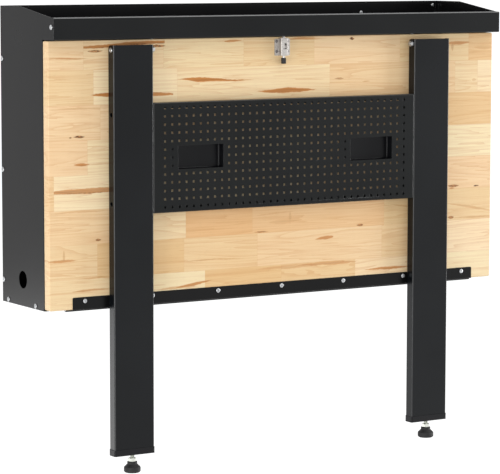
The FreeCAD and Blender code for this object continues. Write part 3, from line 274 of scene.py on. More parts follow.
class Effects:
    """Shared groups: coat texture, edges, dust, painted bend highlights, drawn metal, streaks and
    grain.
    """

    def __init__(self) -> None:
        """Build every group once."""
        self.coat = self._coat()
        self.edge = self._edge()
        self.dust = self._dust()
        self.bend = self._bend_highlight()
        self.drawn = self._drawn()
        self.streak = self._streak()
        self.grain = self._grain()

    def _coat(self) -> bpy.types.NodeTree:
        """Powder coat: a fine pebbled height, and a slow change of tone across the sheet.

        Returns:
            The group.
        """
        shared, tree, get, put = new_group(
            "powder_texture", {"Vector": "Vector", "Grain": "Float"},
            {"Height": "Float", "Tone": "Float"})
        tree.feed(put["Height"], tree.noise(get["Vector"], get["Grain"]))
        tree.feed(put["Tone"], tree.noise(get["Vector"], scale=3.0, detail=3.0))
        return shared

    def _edge(self) -> bpy.types.NodeTree:
        """Edge mask: how far the rounded normal turns away from the surface's own.

        Returns:
            The group.
        """
        shared, tree, get, put = new_group(
            "edge_mask", {"Radius": "Float", "Gain": "Float"},
            {"Mask": "Float", "Normal": "Vector"})
        rounded = tree.add("Bevel", Radius=get["Radius"])
        rounded.samples = 6
        plain = tree.add("NewGeometry").outputs["Normal"]
        likeness = tree.vector("DOT_PRODUCT", rounded.outputs[0], plain).outputs["Value"]
        turned = tree.math("SUBTRACT", 1.0, likeness)
        tree.feed(put["Mask"], tree.math("MULTIPLY", turned, get["Gain"], clamp=True))
        tree.feed(put["Normal"], rounded.outputs[0])
        return shared

    def _dust(self) -> bpy.types.NodeTree:
        """Dust mask: faces that look up, broken by a cloudy noise.

        Returns:
            The group.
        """
        shared, tree, get, put = new_group(
            "settled_dust", {"Vector": "Vector", "Amount": "Float"}, {"Mask": "Float"})
        up = tree.parts(tree.add("NewGeometry").outputs["Normal"])[2]
        wide = tree.noise(get["Vector"], scale=40.0, detail=4.0, roughness=0.6)
        cloud = tree.span(wide, low=0.35, high=0.7)
        level = tree.span(up, low=0.6, high=0.95)
        tree.feed(put["Mask"], tree.product(cloud, level, get["Amount"]))
        return shared

    def _bend_highlight(self) -> bpy.types.NodeTree:
        """Painted bend highlight: surfaces that face none of the piece's own axes and don't look
        down, lightened as if they caught the light.

        Returns:
            The group.
        """
        shared, tree, get, put = new_group("painted_bend_highlight", {"Tone": "Float"}, {"Mask": "Float"})
        across, depth, up = tree.parts(tree.add("TexCoord").outputs["Normal"])
        sides = [tree.math("ABSOLUTE", part) for part in (across, depth, up)]
        nearest = tree.math("MAXIMUM", tree.math("MAXIMUM", sides[0], sides[1]), sides[2])
        turned = tree.span(nearest, low=0.93, high=0.985, to_low=1.0, to_high=0.0)
        level = tree.span(up, low=-0.3, high=-0.1)
        tree.feed(put["Mask"], tree.product(turned, level, get["Tone"]))
        return shared

    def _drawn(self) -> bpy.types.NodeTree:
        """Plated metal: fine scratches stretched along X, and a cloudy film.

        Returns:
            The group.
        """
        shared, tree, get, put = new_group(
            "plated_texture", {"Vector": "Vector"}, {"Height": "Float", "Tone": "Float"})
        drawn_out = tree.scaled(get["Vector"], (0.15, 1.0, 1.0))
        film = tree.noise(get["Vector"], scale=320.0, detail=3.0, roughness=0.6)
        tree.feed(put["Height"], tree.noise(drawn_out, scale=2600.0))
        tree.feed(put["Tone"], film)
        return shared

    def _streak(self) -> bpy.types.NodeTree:
        """Heartwood streak: a spindle that thins out to both ends, darker towards its core.

        Its half height is b (1 - |x / a|^1.8), and it stops square where its stave ends.

        Returns:
            The group.
        """
        shared, tree, get, put = new_group(
            "heartwood_streak",
            {"Vector": "Vector", "Across": "Float", "Up": "Float", "Half Length": "Float",
             "Half Height": "Float", "Slope": "Float", "Depth": "Float", "Left": "Float",
             "Right": "Float"},
            {"Mask": "Float", "Core": "Float"})
        across, up = tree.parts(get["Vector"])[::2]
        run = tree.math("SUBTRACT", across, get["Across"])
        rise = tree.math("SUBTRACT", tree.math("SUBTRACT", up, get["Up"]),
                         tree.product(run, get["Slope"]))
        far = tree.math("POWER", tree.math("ABSOLUTE", tree.math(
            "DIVIDE", run, get["Half Length"])), 1.8)
        height = tree.product(tree.math("SUBTRACT", 1.0, far), get["Half Height"])
        reach = tree.math("SUBTRACT", height, tree.math("ABSOLUTE", rise))
        inside = tree.product(tree.math("GREATER_THAN", across, get["Left"]),
                              tree.math("LESS_THAN", across, get["Right"]))
        body = tree.product(tree.span(reach, low=-0.0006, high=0.0010), inside)
        core = tree.span(reach, low=0.0010, high=0.0045)
        tree.feed(put["Mask"], tree.product(body, get["Depth"]))
        tree.feed(put["Core"], tree.product(body, core))
        return shared

    def _grain(self) -> bpy.types.NodeTree:
        """Wood grain: growth bands, fine fibres and short dark pores, all drawn out along X.

        Each stave has its own part of the noise. The bands are f(9 n)^3, f being the part of a
        number after its point and n a slow noise.

        Returns:
            The group.
        """
        shared, tree, get, put = new_group(
            "wood_grain", {"Vector": "Vector", "Stave": "Vector"},
            {"Bands": "Float", "Fibre": "Float", "Pores": "Float", "Cloud": "Float"})
        shift = tree.scaled(get["Stave"], (7.0, 5.0, 9.0))
        place = tree.vector("ADD", get["Vector"], shift).outputs[0]
        slow = tree.noise(
            tree.scaled(place, (0.34, 1.0, 6.0)), scale=4.2, detail=3.0, distortion=0.8)
        rings = tree.math("FRACT", tree.product(slow, 9.0))
        fibre = tree.noise(
            tree.scaled(place, (9.0, 320.0, 420.0)), scale=1.0, detail=3.0, roughness=0.6)
        pores = tree.noise(tree.scaled(place, (60.0, 900.0, 1500.0)), scale=1.0, detail=1.0)
        cloud = tree.noise(tree.scaled(place, (3.0, 8.0, 12.0)), scale=1.0)
        tree.feed(put["Bands"], tree.math("POWER", rings, 3.0))
        tree.feed(put["Fibre"], fibre)
        tree.feed(put["Pores"], tree.span(pores, low=0.62, high=0.72))
        tree.feed(put["Cloud"], cloud)
        return shared


# Finishes


def new_material(name: str) -> tuple[bpy.types.Material, Tree, bpy.types.Node]:
    """Start a material with one Principled shader.

    Args:
        name: The material's name.

    Returns:
        The material, the calls that fill its tree, and its Principled node.
    """
    material = bpy.data.materials.new(name)
    material.use_nodes = True
    principled = material.node_tree.nodes["Principled BSDF"]
    return material, Tree(material.node_tree), principled


def lay_on(tree: Tree, surface: bpy.types.Node, colour: Value, roughness: Value,
           **bump: Value) -> None:
    """Feed a Principled node its colour, its roughness and a Bump node with these inputs.

    Args:
        tree: The calls that add nodes.
        surface: The Principled node.
        colour: The base colour.
        roughness: The roughness.
        bump: The inputs of the Bump node.
    """
    tree.feed(surface.inputs["Base Color"], colour)
    tree.feed(surface.inputs["Roughness"], roughness)
    tree.feed(surface.inputs["Normal"], tree.add("Bump", **bump).outputs[0])


@dataclass(frozen=True)
class PowderCoat:
    """Satin black powder coat on sheet steel, with painted highlights on its edges and bends."""

    name: str
    colour: Colour
    roughness: float
    specular: float
    # How far bends are lightened towards white: a painted highlight.
    bend_highlight_tone: float = 0.0
    light_gain: float = 1.35
    light_lift: float = 0.002
    glossier: float = 0.015
    duller: float = 0.02
    grain: float = 1500.0
    bump: float = 0.05
    bump_depth: float = 0.0003
    edge_radius: float = 0.0007
    edge_gain: float = 2.0
    # Lighter edges: mostly a painted edge highlight, partly worn paint.
    edge_highlight_tone: Colour = (0.03, 0.03, 0.03)
    dust: float = 0.03
    dust_tone: Colour = (0.10, 0.10, 0.10)

    def build(self, effects: Effects) -> bpy.types.Material:
        """Make the material.

        Args:
            effects: The shared groups.

        Returns:
            The material.
        """
        material, tree, surface = new_material(self.name)
        place = tree.add("TexCoord").outputs["Object"]
        coat = tree.group(effects.coat, Vector=place, Grain=self.grain)
        edge = tree.group(effects.edge, Radius=self.edge_radius, Gain=self.edge_gain)
        dust = tree.group(effects.dust, Vector=place, Amount=self.dust)
        light = tuple(part * self.light_gain + self.light_lift for part in self.colour)
        toned = tree.blend(tree.span(coat.outputs["Tone"], 0.3, 0.7), self.colour, light)
        # Lighter edges: a painted edge highlight, with a little worn paint.
        highlighted = tree.blend(edge.outputs["Mask"], toned, self.edge_highlight_tone)
        # Painted highlight: bends that don't look down are lightened towards white.
        if self.bend_highlight_tone:
            bend = tree.group(effects.bend, Tone=self.bend_highlight_tone)
            highlighted = tree.blend(bend.outputs["Mask"], highlighted, WHITE)
        surface.inputs["Specular IOR Level"].default_value = self.specular
        lay_on(tree, surface, tree.blend(dust.outputs["Mask"], highlighted, self.dust_tone),
               tree.span(coat.outputs["Tone"], 0.25, 0.75, self.roughness - self.glossier,
                         self.roughness + self.duller),
               Strength=self.bump, Distance=self.bump_depth, Height=coat.outputs["Height"],
               Normal=edge.outputs["Normal"])
        return material


@dataclass(frozen=True)
class Streak:
    """One brown streak of the timber: centre and half sizes in millimetres.

    Bark is how far it goes from brown to nearly black. It is cut square at left and right.
    """

    across: float
    up: float
    half_length: float
    half_height: float
    depth: float = 1.0
    slope: float = 0.0
    bark: float = 0.0
    left: float = -700.0
    right: float = 700.0


@dataclass(frozen=True)
class Stave:
    """One piece of the glued-up board: its row, its left end in millimetres and its tone."""

    row: int
    start: float
    tone: float


@dataclass(frozen=True)
class PanelShadow:
    """The part of the board's face behind the panel, in millimetres, and the painted shadow that
    the panel casts on it, as a darker tone.
    """

    half_width: float = 368.0
    low: float = -112.0
    high: float = 166.0
    fade: float = 52.0
    in_front_of: float = -235.0
    tone: Colour = (0.78, 0.77, 0.75)


@dataclass(frozen=True)
class Timber:
    """Pale glued-up hardwood under a thin clear lacquer.

    The shares say how far the growth bands, the fibres, the pores, the glue joints, and the
    streaks' cores and lines go towards the darker colours.
    """

    name: str
    pale: Colour
    tan: Colour
    brown: Colour
    bark: Colour
    row_height: float
    row_start: float
    staves: tuple[Stave, ...]
    streaks: tuple[Streak, ...]
    # Painted shadow of the panel on the board behind it.
    panel_shadow: PanelShadow = PanelShadow()
    rosy: Colour = (1.0, 0.965, 0.93)
    green: Colour = (0.965, 1.0, 0.94)
    band_share: float = 0.30
    fibre_share: float = 0.17
    pore_share: float = 0.10
    joint_share: float = 0.22
    core_share: float = 0.35
    line_share: float = 0.55
    deep_tone: float = 0.62
    joint_dent: float = 0.8
    finger_pitch: float = 0.0062
    finger_depth: float = 0.010
    finger_tone: float = 0.7
    line_half_width: float = 0.0005
    seam_width: float = 0.014
    wide_bend: float = 0.007
    fine_bend: float = 0.0032
    roughness: float = 0.42
    duller: float = 0.12
    specular: float = 0.3
    bump: float = 0.10
    bump_depth: float = 0.0004

    def build(self, effects: Effects) -> bpy.types.Material:
        """Make the material.

        Args:
            effects: The shared groups.

        Returns:
            The material.
        """
        material, tree, surface = new_material(self.name)
        place = tree.add("TexCoord").outputs["Object"]
        tone, number, joint = self._layout(tree, place)
        grain = tree.group(effects.grain, Vector=place, Stave=number)
        fibre = grain.outputs["Fibre"]
        cloudy = tree.math("MULTIPLY_ADD", grain.outputs["Cloud"], 0.5, tree.math(
            "SUBTRACT", tone, 0.25), clamp=True)
        chance = tree.add("TexWhiteNoise", Vector=number).outputs["Value"]
        shade = tree.blend(1.0, tree.blend(cloudy, self.pale, self.tan),
                           tree.blend(chance, self.rosy, self.green), "MULTIPLY")
        for share, darker in (
                (tree.product(grain.outputs["Bands"], self.band_share), self.brown),
                (tree.span(fibre, 0.35, 0.75, 0.0, self.fibre_share), self.brown),
                (tree.product(grain.outputs["Pores"], self.pore_share), self.bark),
                (tree.product(joint, self.joint_share), self.brown)):
            shade = tree.blend(share, shade, darker)
        body, core, knot = self._streak_masks(tree, effects, place)
        deep = tuple(part * self.deep_tone for part in self.brown)
        lined = tree.span(fibre, 0.42, 0.68, 0.0, self.line_share)
        heart = tree.blend(
            tree.math("MULTIPLY_ADD", core, self.core_share, lined), self.brown, deep)
        knotted = tree.blend(knot, tree.blend(body, shade, heart), self.bark)
        surface.inputs["Specular IOR Level"].default_value = self.specular
        lay_on(tree, surface, self._with_panel_shadow(tree, place, knotted),
               tree.span(fibre, 0.3, 0.8, self.roughness, self.roughness + self.duller),
               Strength=self.bump, Distance=self.bump_depth,
               Height=tree.math("SUBTRACT", fibre, tree.product(joint, self.joint_dent)))
        return material

    def _with_panel_shadow(self, tree: Tree, place: Value, colour: Value) -> bpy.types.NodeSocket:
        """Paint the panel's shadow onto the face behind the panel, darker than the rest.

        Args:
            tree: The calls that add nodes.
            place: The point.
            colour: Its colour so far.

        Returns:
            The colour.
        """
        across, depth, up = tree.parts(place)
        part = self.panel_shadow
        half, low, high, fade = (
            size * MM for size in (part.half_width, part.low, part.high, part.fade))
        share = tree.product(
            tree.span(tree.math("ABSOLUTE", across), half - fade, half, 1.0, 0.0),
            tree.span(up, low, low + fade), tree.span(up, high - fade, high, 1.0, 0.0),
            tree.math("LESS_THAN", depth, part.in_front_of * MM))
        # Painted shadow: the board is darkened where the panel stands in front of it.
        return tree.blend(share, colour, part.tone, "MULTIPLY")

    def _layout(self, tree: Tree, place: Value) -> tuple[Value, Value, Value]:
        """Lay the staves out.

        A row's tone is its first piece's, plus at each end that lies to the left of the point
        the step to the next piece's tone. The ends zigzag through the board's depth, as
        finger joints do.

        Args:
            tree: The calls that add nodes.
            place: The point.

        Returns:
            The piece's tone, a vector that differs from piece to piece, and the joint lines.
        """
        across, depth, up = tree.parts(place)
        wave = tree.math("PINGPONG", tree.math("DIVIDE", depth, self.finger_pitch), 0.5)
        along = tree.math("MULTIPLY_ADD", wave, self.finger_depth, across)
        level = tree.math("DIVIDE", tree.math("SUBTRACT", up, self.row_start), self.row_height)
        row = tree.math("FLOOR", level)
        tone: Value = 0.0
        count: Value = 0.0
        ends: Value = 0.0
        for number in sorted({stave.row for stave in self.staves}):
            here = tree.math("COMPARE", row, float(number), 0.1)
            pieces = sorted(
                (stave for stave in self.staves if stave.row == number), key=lambda one: one.start)
            total: Value = pieces[0].tone
            past: Value = 0.0
            for before, piece in zip(pieces, pieces[1:]):
                gone = tree.math("GREATER_THAN", along, piece.start * MM)
                total = tree.math("MULTIPLY_ADD", gone, piece.tone - before.tone, total)
                past = tree.math("ADD", past, gone)
                line = tree.math("COMPARE", along, piece.start * MM, self.line_half_width)
                ends = tree.math("MAXIMUM", ends, tree.product(line, here))
            tone = tree.math("MULTIPLY_ADD", here, total, tone)
            count = tree.math("MULTIPLY_ADD", here, past, count)
        seam = tree.span(
            tree.math("PINGPONG", level, 0.5), 0.0, self.seam_width, to_low=1.0, to_high=0.0)
        differing = tree.join(
            tree.product(count, 1.37), row, tree.math("MULTIPLY_ADD", row, 0.71, count))
        joint = tree.math("MAXIMUM", seam, tree.product(ends, self.finger_tone))
        return tone, differing, joint

    def _streak_masks(self, tree: Tree, effects: Effects, place: Value
                      ) -> tuple[Value, Value, Value]:
        """Join every streak into one mask.

        The point is bent by a slow and a fine noise first, so that no edge is a clean curve. A
        third noise breaks up the bark-dark parts.

        Args:
            tree: The calls that add nodes.
            effects: The shared groups.
            place: The point.

        Returns:
            The streaks, their cores, and their bark-dark parts.
        """
        across, depth, up = tree.parts(place)
        wide = tree.noise(tree.scaled(place, (13.0, 60.0, 40.0)), scale=1.0, detail=1.0)
        fine = tree.noise(tree.scaled(place, (90.0, 60.0, 500.0)), scale=1.0)
        rise = tree.math("MULTIPLY_ADD", tree.math("SUBTRACT", wide, 0.5), self.wide_bend, up)
        bent = tree.math("MULTIPLY_ADD", tree.math("SUBTRACT", fine, 0.5), self.fine_bend, rise)
        point = tree.join(across, depth, bent)
        masks: list[Value] = [0.0, 0.0, 0.0]
        for streak in self.streaks:
            one = tree.group(
                effects.streak, Vector=point, Across=streak.across * MM, Up=streak.up * MM,
                Half_Length=streak.half_length * MM, Half_Height=streak.half_height * MM,
                Slope=streak.slope, Depth=streak.depth, Left=streak.left * MM,
                Right=streak.right * MM)
            found = [one.outputs["Mask"], one.outputs["Core"]]
            if streak.bark:
                found.append(tree.product(one.outputs["Mask"], streak.bark))
            for index, mask in enumerate(found):
                masks[index] = tree.math("MAXIMUM", masks[index], mask)
        split = tree.noise(tree.scaled(place, (170.0, 60.0, 480.0)), scale=1.0, detail=1.0)
        broken = tree.span(split, low=0.40, high=0.56, to_low=0.25, to_high=1.7)
        return masks[0], masks[1], tree.math("MULTIPLY", masks[2], broken, clamp=True)


@dataclass(frozen=True)
class Plated:
    """Zinc-plated or drawn steel."""

    name: str
    colour: Colour
    roughness: float
    bump: float = 0.06
    bump_depth: float = 0.0001
    film: float = 0.12

    def build(self, effects: Effects) -> bpy.types.Material:
        """Make the material.

        Args:
            effects: The shared groups.

        Returns:
            The material.
        """
        material, tree, surface = new_material(self.name)
        place = tree.add("TexCoord").outputs["Object"]
        plate = tree.group(effects.drawn, Vector=place)
        film = plate.outputs["Tone"]
        dull = tuple(part * (1.0 - self.film * 2.0) for part in self.colour)
        surface.inputs["Metallic"].default_value = 1.0
        lay_on(tree, surface, tree.blend(tree.span(film, 0.3, 0.7), self.colour, dull),
               tree.span(film, 0.2, 0.8, self.roughness, self.roughness + self.film),
               Strength=self.bump, Distance=self.bump_depth, Height=plate.outputs["Height"])
        return material


@dataclass(frozen=True)
class Moulded:
    """Black moulded plastic with a fine spark-eroded texture."""

    name: str
    colour: Colour
    roughness: float = 0.5
    specular: float = 0.35
    duller: float = 0.12
    light_gain: float = 1.5
    grain: float = 2800.0
    bump: float = 0.12
    bump_depth: float = 0.0002

    def build(self, effects: Effects) -> bpy.types.Material:
        """Make the material.

        Args:
            effects: The shared groups.

        Returns:
            The material.
        """
        material, tree, surface = new_material(self.name)
        place = tree.add("TexCoord").outputs["Object"]
        height = tree.group(effects.coat, Vector=place, Grain=self.grain).outputs["Height"]
        light = tuple(part * self.light_gain for part in self.colour)
        surface.inputs["Specular IOR Level"].default_value = self.specular
        lay_on(tree, surface, tree.blend(tree.span(height, 0.3, 0.7), self.colour, light),
               tree.span(height, 0.3, 0.7, self.roughness, self.roughness + self.duller),
               Strength=self.bump, Distance=self.bump_depth, Height=height)
        return material


STAVES = (
    Stave(-1, -700, 0.35), Stave(-1, -350, 0.15), Stave(-1, -208, 0.85), Stave(-1, 0, 0.70),
    Stave(-1, 209, 0.25), Stave(-1, 480, 0.12),
    Stave(0, -700, 0.42), Stave(0, -489, 0.80), Stave(0, -264, 0.62), Stave(0, -66, 0.50),
    Stave(0, 286, 0.60), Stave(0, 480, 0.05),
    Stave(1, -700, 0.50), Stave(1, -390, 0.30), Stave(1, -259, 1.00), Stave(1, -80, 0.80),
    Stave(1, 292, 0.70), Stave(1, 480, 0.62),
    Stave(2, -700, 0.55), Stave(2, -598, 0.02), Stave(2, 90, 0.40), Stave(2, 480, 0.48),
    Stave(3, -700, 0.45), Stave(3, -513, 0.15), Stave(3, 80, 0.40), Stave(3, 480, 0.00),
    Stave(4, -700, 0.45), Stave(4, -480, 0.30), Stave(4, 60, 0.40), Stave(4, 480, 0.80),
    Stave(5, -700, 0.55), Stave(5, -497, 0.12), Stave(5, -281, 0.28), Stave(5, 134, 0.55),
    Stave(5, 499, 0.35), Stave(5, 567, 0.05),
    Stave(6, -700, 0.42), Stave(6, -522, 0.30), Stave(6, -317, 0.35), Stave(6, -104, 0.58),
    Stave(6, 90, 0.42), Stave(6, 335, 0.55), Stave(6, 539, 0.80),
)

STREAKS = (
    Streak(-418, 283.4, 170, 4.6, 0.95, 0.045, left=-522, right=-314),
    Streak(-418, 281.0, 150, 1.4, 1.0, 0.045, 0.35, -522, -314),
    Streak(-505, -46.0, 108, 1.3, 1.0, 0.01, 0.3), Streak(-492, 270.0, 20, 3.0, 0.8, bark=0.5),
    Streak(-330, 279.0, 18, 3.0, 0.9, bark=0.5),
    Streak(-565, 254.0, 56, 2.2, 0.65), Streak(-588, 207.4, 34, 1.6, 0.35),
    Streak(-460, 172.4, 46, 4.2, 1.0), Streak(-536, 142.5, 84, 1.6, 0.35),
    Streak(-534, 80.2, 15, 2.6, 0.9, bark=0.75), Streak(-556, 78.0, 4, 1.8, 0.8, bark=0.5),
    Streak(-527, 18.6, 21, 3.4, 0.9), Streak(-482, 18.6, 34, 1.8, 0.35),
    Streak(-518, -41.5, 130, 6.6, 0.8, 0.01, left=-598), Streak(-540, -88.0, 86, 2.2, 0.35),
    Streak(-487, -152.8, 8, 3.2, 0.8, bark=0.4), Streak(-580, -195.5, 40, 3.6, 0.7),
    Streak(-574, -186.0, 3, 14.0, 0.35), Streak(-498, -238.5, 42, 2.2, 0.45),
    Streak(-506, -266.5, 50, 2.6, 0.6), Streak(-135, 286.0, 26, 3.4, 0.8, left=-156),
    Streak(-212, 199.8, 66, 5.2, 1.0, -0.02), Streak(-176, 197.5, 108, 2.8, 1.0, -0.03),
    Streak(14, 169.3, 84, 5.6, 1.0), Streak(-340, 169.0, 70, 4.2, 0.95, right=-292),
    Streak(58, 288.6, 42, 3.2, 0.75), Streak(-57, -159.0, 22, 2.2, 0.8, bark=0.3),
    Streak(124, -183.6, 30, 4.0, 0.85, 0.08, right=146), Streak(-240, -270.5, 52, 3.8, 0.9, 0.13),
    Streak(-280, -275.5, 54, 3.0, 0.5), Streak(-184, -217.0, 88, 1.6, 0.5, -0.02),
    Streak(5, -139.0, 42, 6.0, 0.2), Streak(24, -130.0, 4, 16.0, 0.25),
    Streak(40, -246.0, 114, 4.2, 0.35, 0.02), Streak(196, 286.9, 7, 3.4, 1.0, bark=0.6),
    Streak(161, 192.6, 14, 2.2, 0.6, bark=0.3), Streak(222, -157.6, 10, 2.6, 0.9, bark=0.4),
    Streak(130, -245.3, 92, 4.4, 0.6), Streak(302, -266.3, 72, 3.4, 0.9),
    Streak(504, 270.6, 44, 4.4, 0.75, 0.03), Streak(490, 262.0, 4, 12.0, 0.4),
    Streak(586, 258.6, 34, 5.0, 0.25), Streak(497, -77.0, 18, 3.6, 0.9, bark=0.35),
    Streak(492, -83.0, 9, 2.0, 0.8), Streak(566, -81.4, 8, 1.8, 0.8, bark=0.8),
    Streak(490, -156.0, 10, 3.2, 0.9, bark=0.35), Streak(560, -157.0, 70, 2.0, 0.5),
    Streak(556, 179.1, 7, 4.0, 0.3), Streak(550, -132.6, 74, 3.4, 0.4, -0.19),
    Streak(80, 287.2, 36, 2.8, 0.3), Streak(238, 184.0, 12, 1.8, 0.5),
    Streak(-20, -118.0, 60, 2.0, 0.3, 0.06), Streak(350, -120.0, 40, 2.2, 0.4, -0.15),
)


class Finishes:
    """The bench's finishes, by the record's slot names and their kinds after a point."""

    def __init__(self, effects: Effects) -> None:
        """Build every material once.

        Args:
            effects: The shared groups.
        """
        recipes = {
            "case_steel": PowderCoat("case_powder_coat", (0.0014, 0.0014, 0.0018), 0.26, 0.13),
            # The fifth number of the rail, leg and panel coats is their painted bend highlight.
            "rail_steel": PowderCoat(
                "rail_powder_coat", (0.0014, 0.0020, 0.0024), 0.26, 0.215, 0.19),
            "hinge_steel": PowderCoat("hinge_powder_coat", (0.0018, 0.0018, 0.0020), 0.28, 0.17),
            "leg_steel": PowderCoat(
                "leg_powder_coat", (0.0014, 0.0022, 0.0032), 0.26, 0.215, 0.045),
            "panel_steel": PowderCoat(
                "panel_powder_coat", (0.0012, 0.0020, 0.0022), 0.28, 0.21, 0.035),
            "panel_steel.recess": PowderCoat(
                "recess_powder_coat", (0.0012, 0.0014, 0.0022), 0.30, 0.17),
            "timber": Timber(
                "glued_hardwood", pale=(0.94, 0.77, 0.52), tan=(0.80, 0.51, 0.255),
                brown=(0.58, 0.235, 0.06), bark=(0.10, 0.045, 0.02), row_height=0.078,
                row_start=-0.2401, staves=STAVES, streaks=STREAKS),
            "zinc": Plated("zinc_plate", (0.52, 0.53, 0.54), 0.36),
            "latch_metal": Plated("latch_plate_metal", (0.50, 0.475, 0.45), 0.44),
            # The latch screws are darker than the latch's metal: painted shade of their cross
            # recesses.
            "latch_metal.shaded_screw": Plated("latch_screw_shaded_metal", (0.24, 0.225, 0.225), 0.5),
            "spring_steel": Plated("spring_wire", (0.45, 0.45, 0.46), 0.3),
            "knob_plastic": Moulded("knob_plastic", (0.012, 0.012, 0.013)),
            "cap_plastic": Moulded("cap_plastic", (0.004, 0.004, 0.005), 0.36, 0.19),
            "foot_steel": Plated("foot_plate_metal", (0.70, 0.72, 0.66), 0.3),
            "foot_plastic": Moulded("foot_plastic", (0.008, 0.008, 0.008), 0.55),
        }
        self.by_slot = {slot: recipe.build(effects) for slot, recipe in recipes.items()}

    def dress_nodes(self) -> None:
        """Give every CAD node that shows the finish of its slot."""
        for entry in frame["record"]["subparts"]:
            node = frame["nodes"][entry["node"]]
            material = self.by_slot[entry["material_slot"]]
            node.data.materials.clear()
            node.data.materials.append(material)


# Surfaces


def mesh_from_grid(name: str, grid: Array, closed: tuple[bool, bool] = (False, False)
                   ) -> bpy.types.Mesh:
    """Make a mesh of quads from a grid of points.

    Args:
        name: The mesh's name.
        grid: Points of shape (rows, columns, 3), in metres.
        closed: Whether the rows, and the columns, come round to their start.

    Returns:
        The mesh. Quad (i, j) joins the points i, i+1 by j, j+1.
    """
    rows, columns = grid.shape[:2]
    down = np.arange(rows if closed[0] else rows - 1)
    along = np.arange(columns if closed[1] else columns - 1)
    i, j = (part.ravel() for part in np.meshgrid(down, along, indexing="ij"))
    below = (i + 1) % rows
    right = (j + 1) % columns
    faces = np.stack([
        i * columns + j, i * columns + right, below * columns + right, below * columns + j], axis=1)
    mesh = bpy.data.meshes.new(name)
    mesh.vertices.add(rows * columns)
    mesh.vertices.foreach_set("co", grid.reshape(-1).astype(np.float32))
    mesh.loops.add(faces.size)
    mesh.loops.foreach_set("vertex_index", faces.ravel().astype(np.int32))
    mesh.polygons.add(len(faces))
    mesh.polygons.foreach_set("loop_start", np.arange(0, faces.size, 4, dtype=np.int32))
    mesh.update(calc_edges=True)
    return mesh


def close_surface(mesh: bpy.types.Mesh, sharp: float) -> bpy.types.Mesh:
    """Weld seams and poles, close flat ends, turn faces outwards and set the sharp edges.

    Args:
        mesh: The mesh to finish.
        sharp: Edges that turn by more than this stay sharp, in degrees.

    Returns:
        The same mesh.
    """
    shape = bmesh.new()
    shape.from_mesh(mesh)
    bmesh.ops.remove_doubles(shape, verts=shape.verts, dist=WELD_GAP)
    loose = [edge for edge in shape.edges if edge.is_boundary]
    if loose:
        bmesh.ops.holes_fill(shape, edges=loose, sides=0)
    bmesh.ops.recalc_face_normals(shape, faces=shape.faces)
    shape.to_mesh(mesh)
    shape.free()
    shade(mesh, sharp)
    return mesh


def shade(mesh: bpy.types.Mesh, sharp: float) -> None:
    """Shade a mesh smooth, but for the edges that turn by more than this many degrees."""
    mesh.shade_smooth()
    mesh.set_sharp_from_angle(angle=math.radians(sharp))


def round_angles(count: int) -> Array:
    """Evenly spaced angles of one full turn, as one row."""
    return np.linspace(0.0, FULL_TURN, count, endpoint=False)[None, :]


def carried_round(radius: Array, height: Array, angle: Array) -> Array:
    """Points (r cos a, r sin a, z) in metres, from radii and heights in millimetres."""
    return np.stack(np.broadcast_arrays(
        radius * np.cos(angle), radius * np.sin(angle), height), axis=2) * MM


def rounded_ring(half: tuple[float, float], corner: float, steps: int = 6) -> Array:
    """Points (across, up) round a rectangle whose corners are quarter circles.

    Args:
        half: Half the width and half the height.
        corner: The corners' radius.
        steps: Points on each corner.

    Returns:
        The points, of shape (4 * steps, 2).
    """
    angle = np.linspace(0.0, QUARTER_TURN, steps)
    return np.concatenate([
        np.stack([
            side * (half[0] - corner) + corner * np.cos(angle + quarter * QUARTER_TURN),
            end * (half[1] - corner) + corner * np.sin(angle + quarter * QUARTER_TURN)], axis=1)
        for quarter, (side, end) in enumerate(((1, 1), (-1, 1), (-1, -1), (1, -1)))])


def rounded_profile(corners: list[tuple[float, float, float]], steps: int = 5
                    ) -> list[tuple[float, float]]:
    """Round the corners of a profile.

    Args:
        corners: Points as (radius, height, rounding). The ends are kept as they are.
        steps: Points on each rounding.

    Returns:
        The profile. A rounded corner is the quadratic curve from the point one rounding before
        the corner to the point one rounding after it, with the corner as its control.
    """
    line: list[tuple[float, float]] = []
    for index, (radius, height, rounding) in enumerate(corners):
        here = np.array((radius, height))
        if rounding <= 0.0 or index in (0, len(corners) - 1):
            line.append((radius, height))
            continue
        before = np.array(corners[index - 1][:2])
        after = np.array(corners[index + 1][:2])
        start = here + (before - here) / np.linalg.norm(before - here) * rounding
        end = here + (after - here) / np.linalg.norm(after - here) * rounding
        share = np.linspace(0.0, 1.0, steps)[:, None]
        curve = (1 - share) ** 2 * start + 2 * share * (1 - share) * here + share ** 2 * end
        line.extend(map(tuple, curve))
    return line


def merged(name: str, meshes: list[bpy.types.Mesh]) -> bpy.types.Mesh:
    """Put several meshes into one, and drop them.

    Args:
        name: The new mesh's name.
        meshes: The meshes.

    Returns:
        The new mesh.
    """
    shape = bmesh.new()
    for mesh in meshes:
        shape.from_mesh(mesh)
    joined = bpy.data.meshes.new(name)
    shape.to_mesh(joined)
    shape.free()
    for mesh in meshes:
        bpy.data.meshes.remove(mesh)
    return joined


def add_object(name: str, data: bpy.types.ID) -> bpy.types.Object:
    """Add an object to the scene.

    Args:
        name: The object's name.
        data: Its mesh, lamp or camera.

    Returns:
        The object.
    """
    made = bpy.data.objects.new(name, data)
    bpy.context.scene.collection.objects.link(made)
    return made


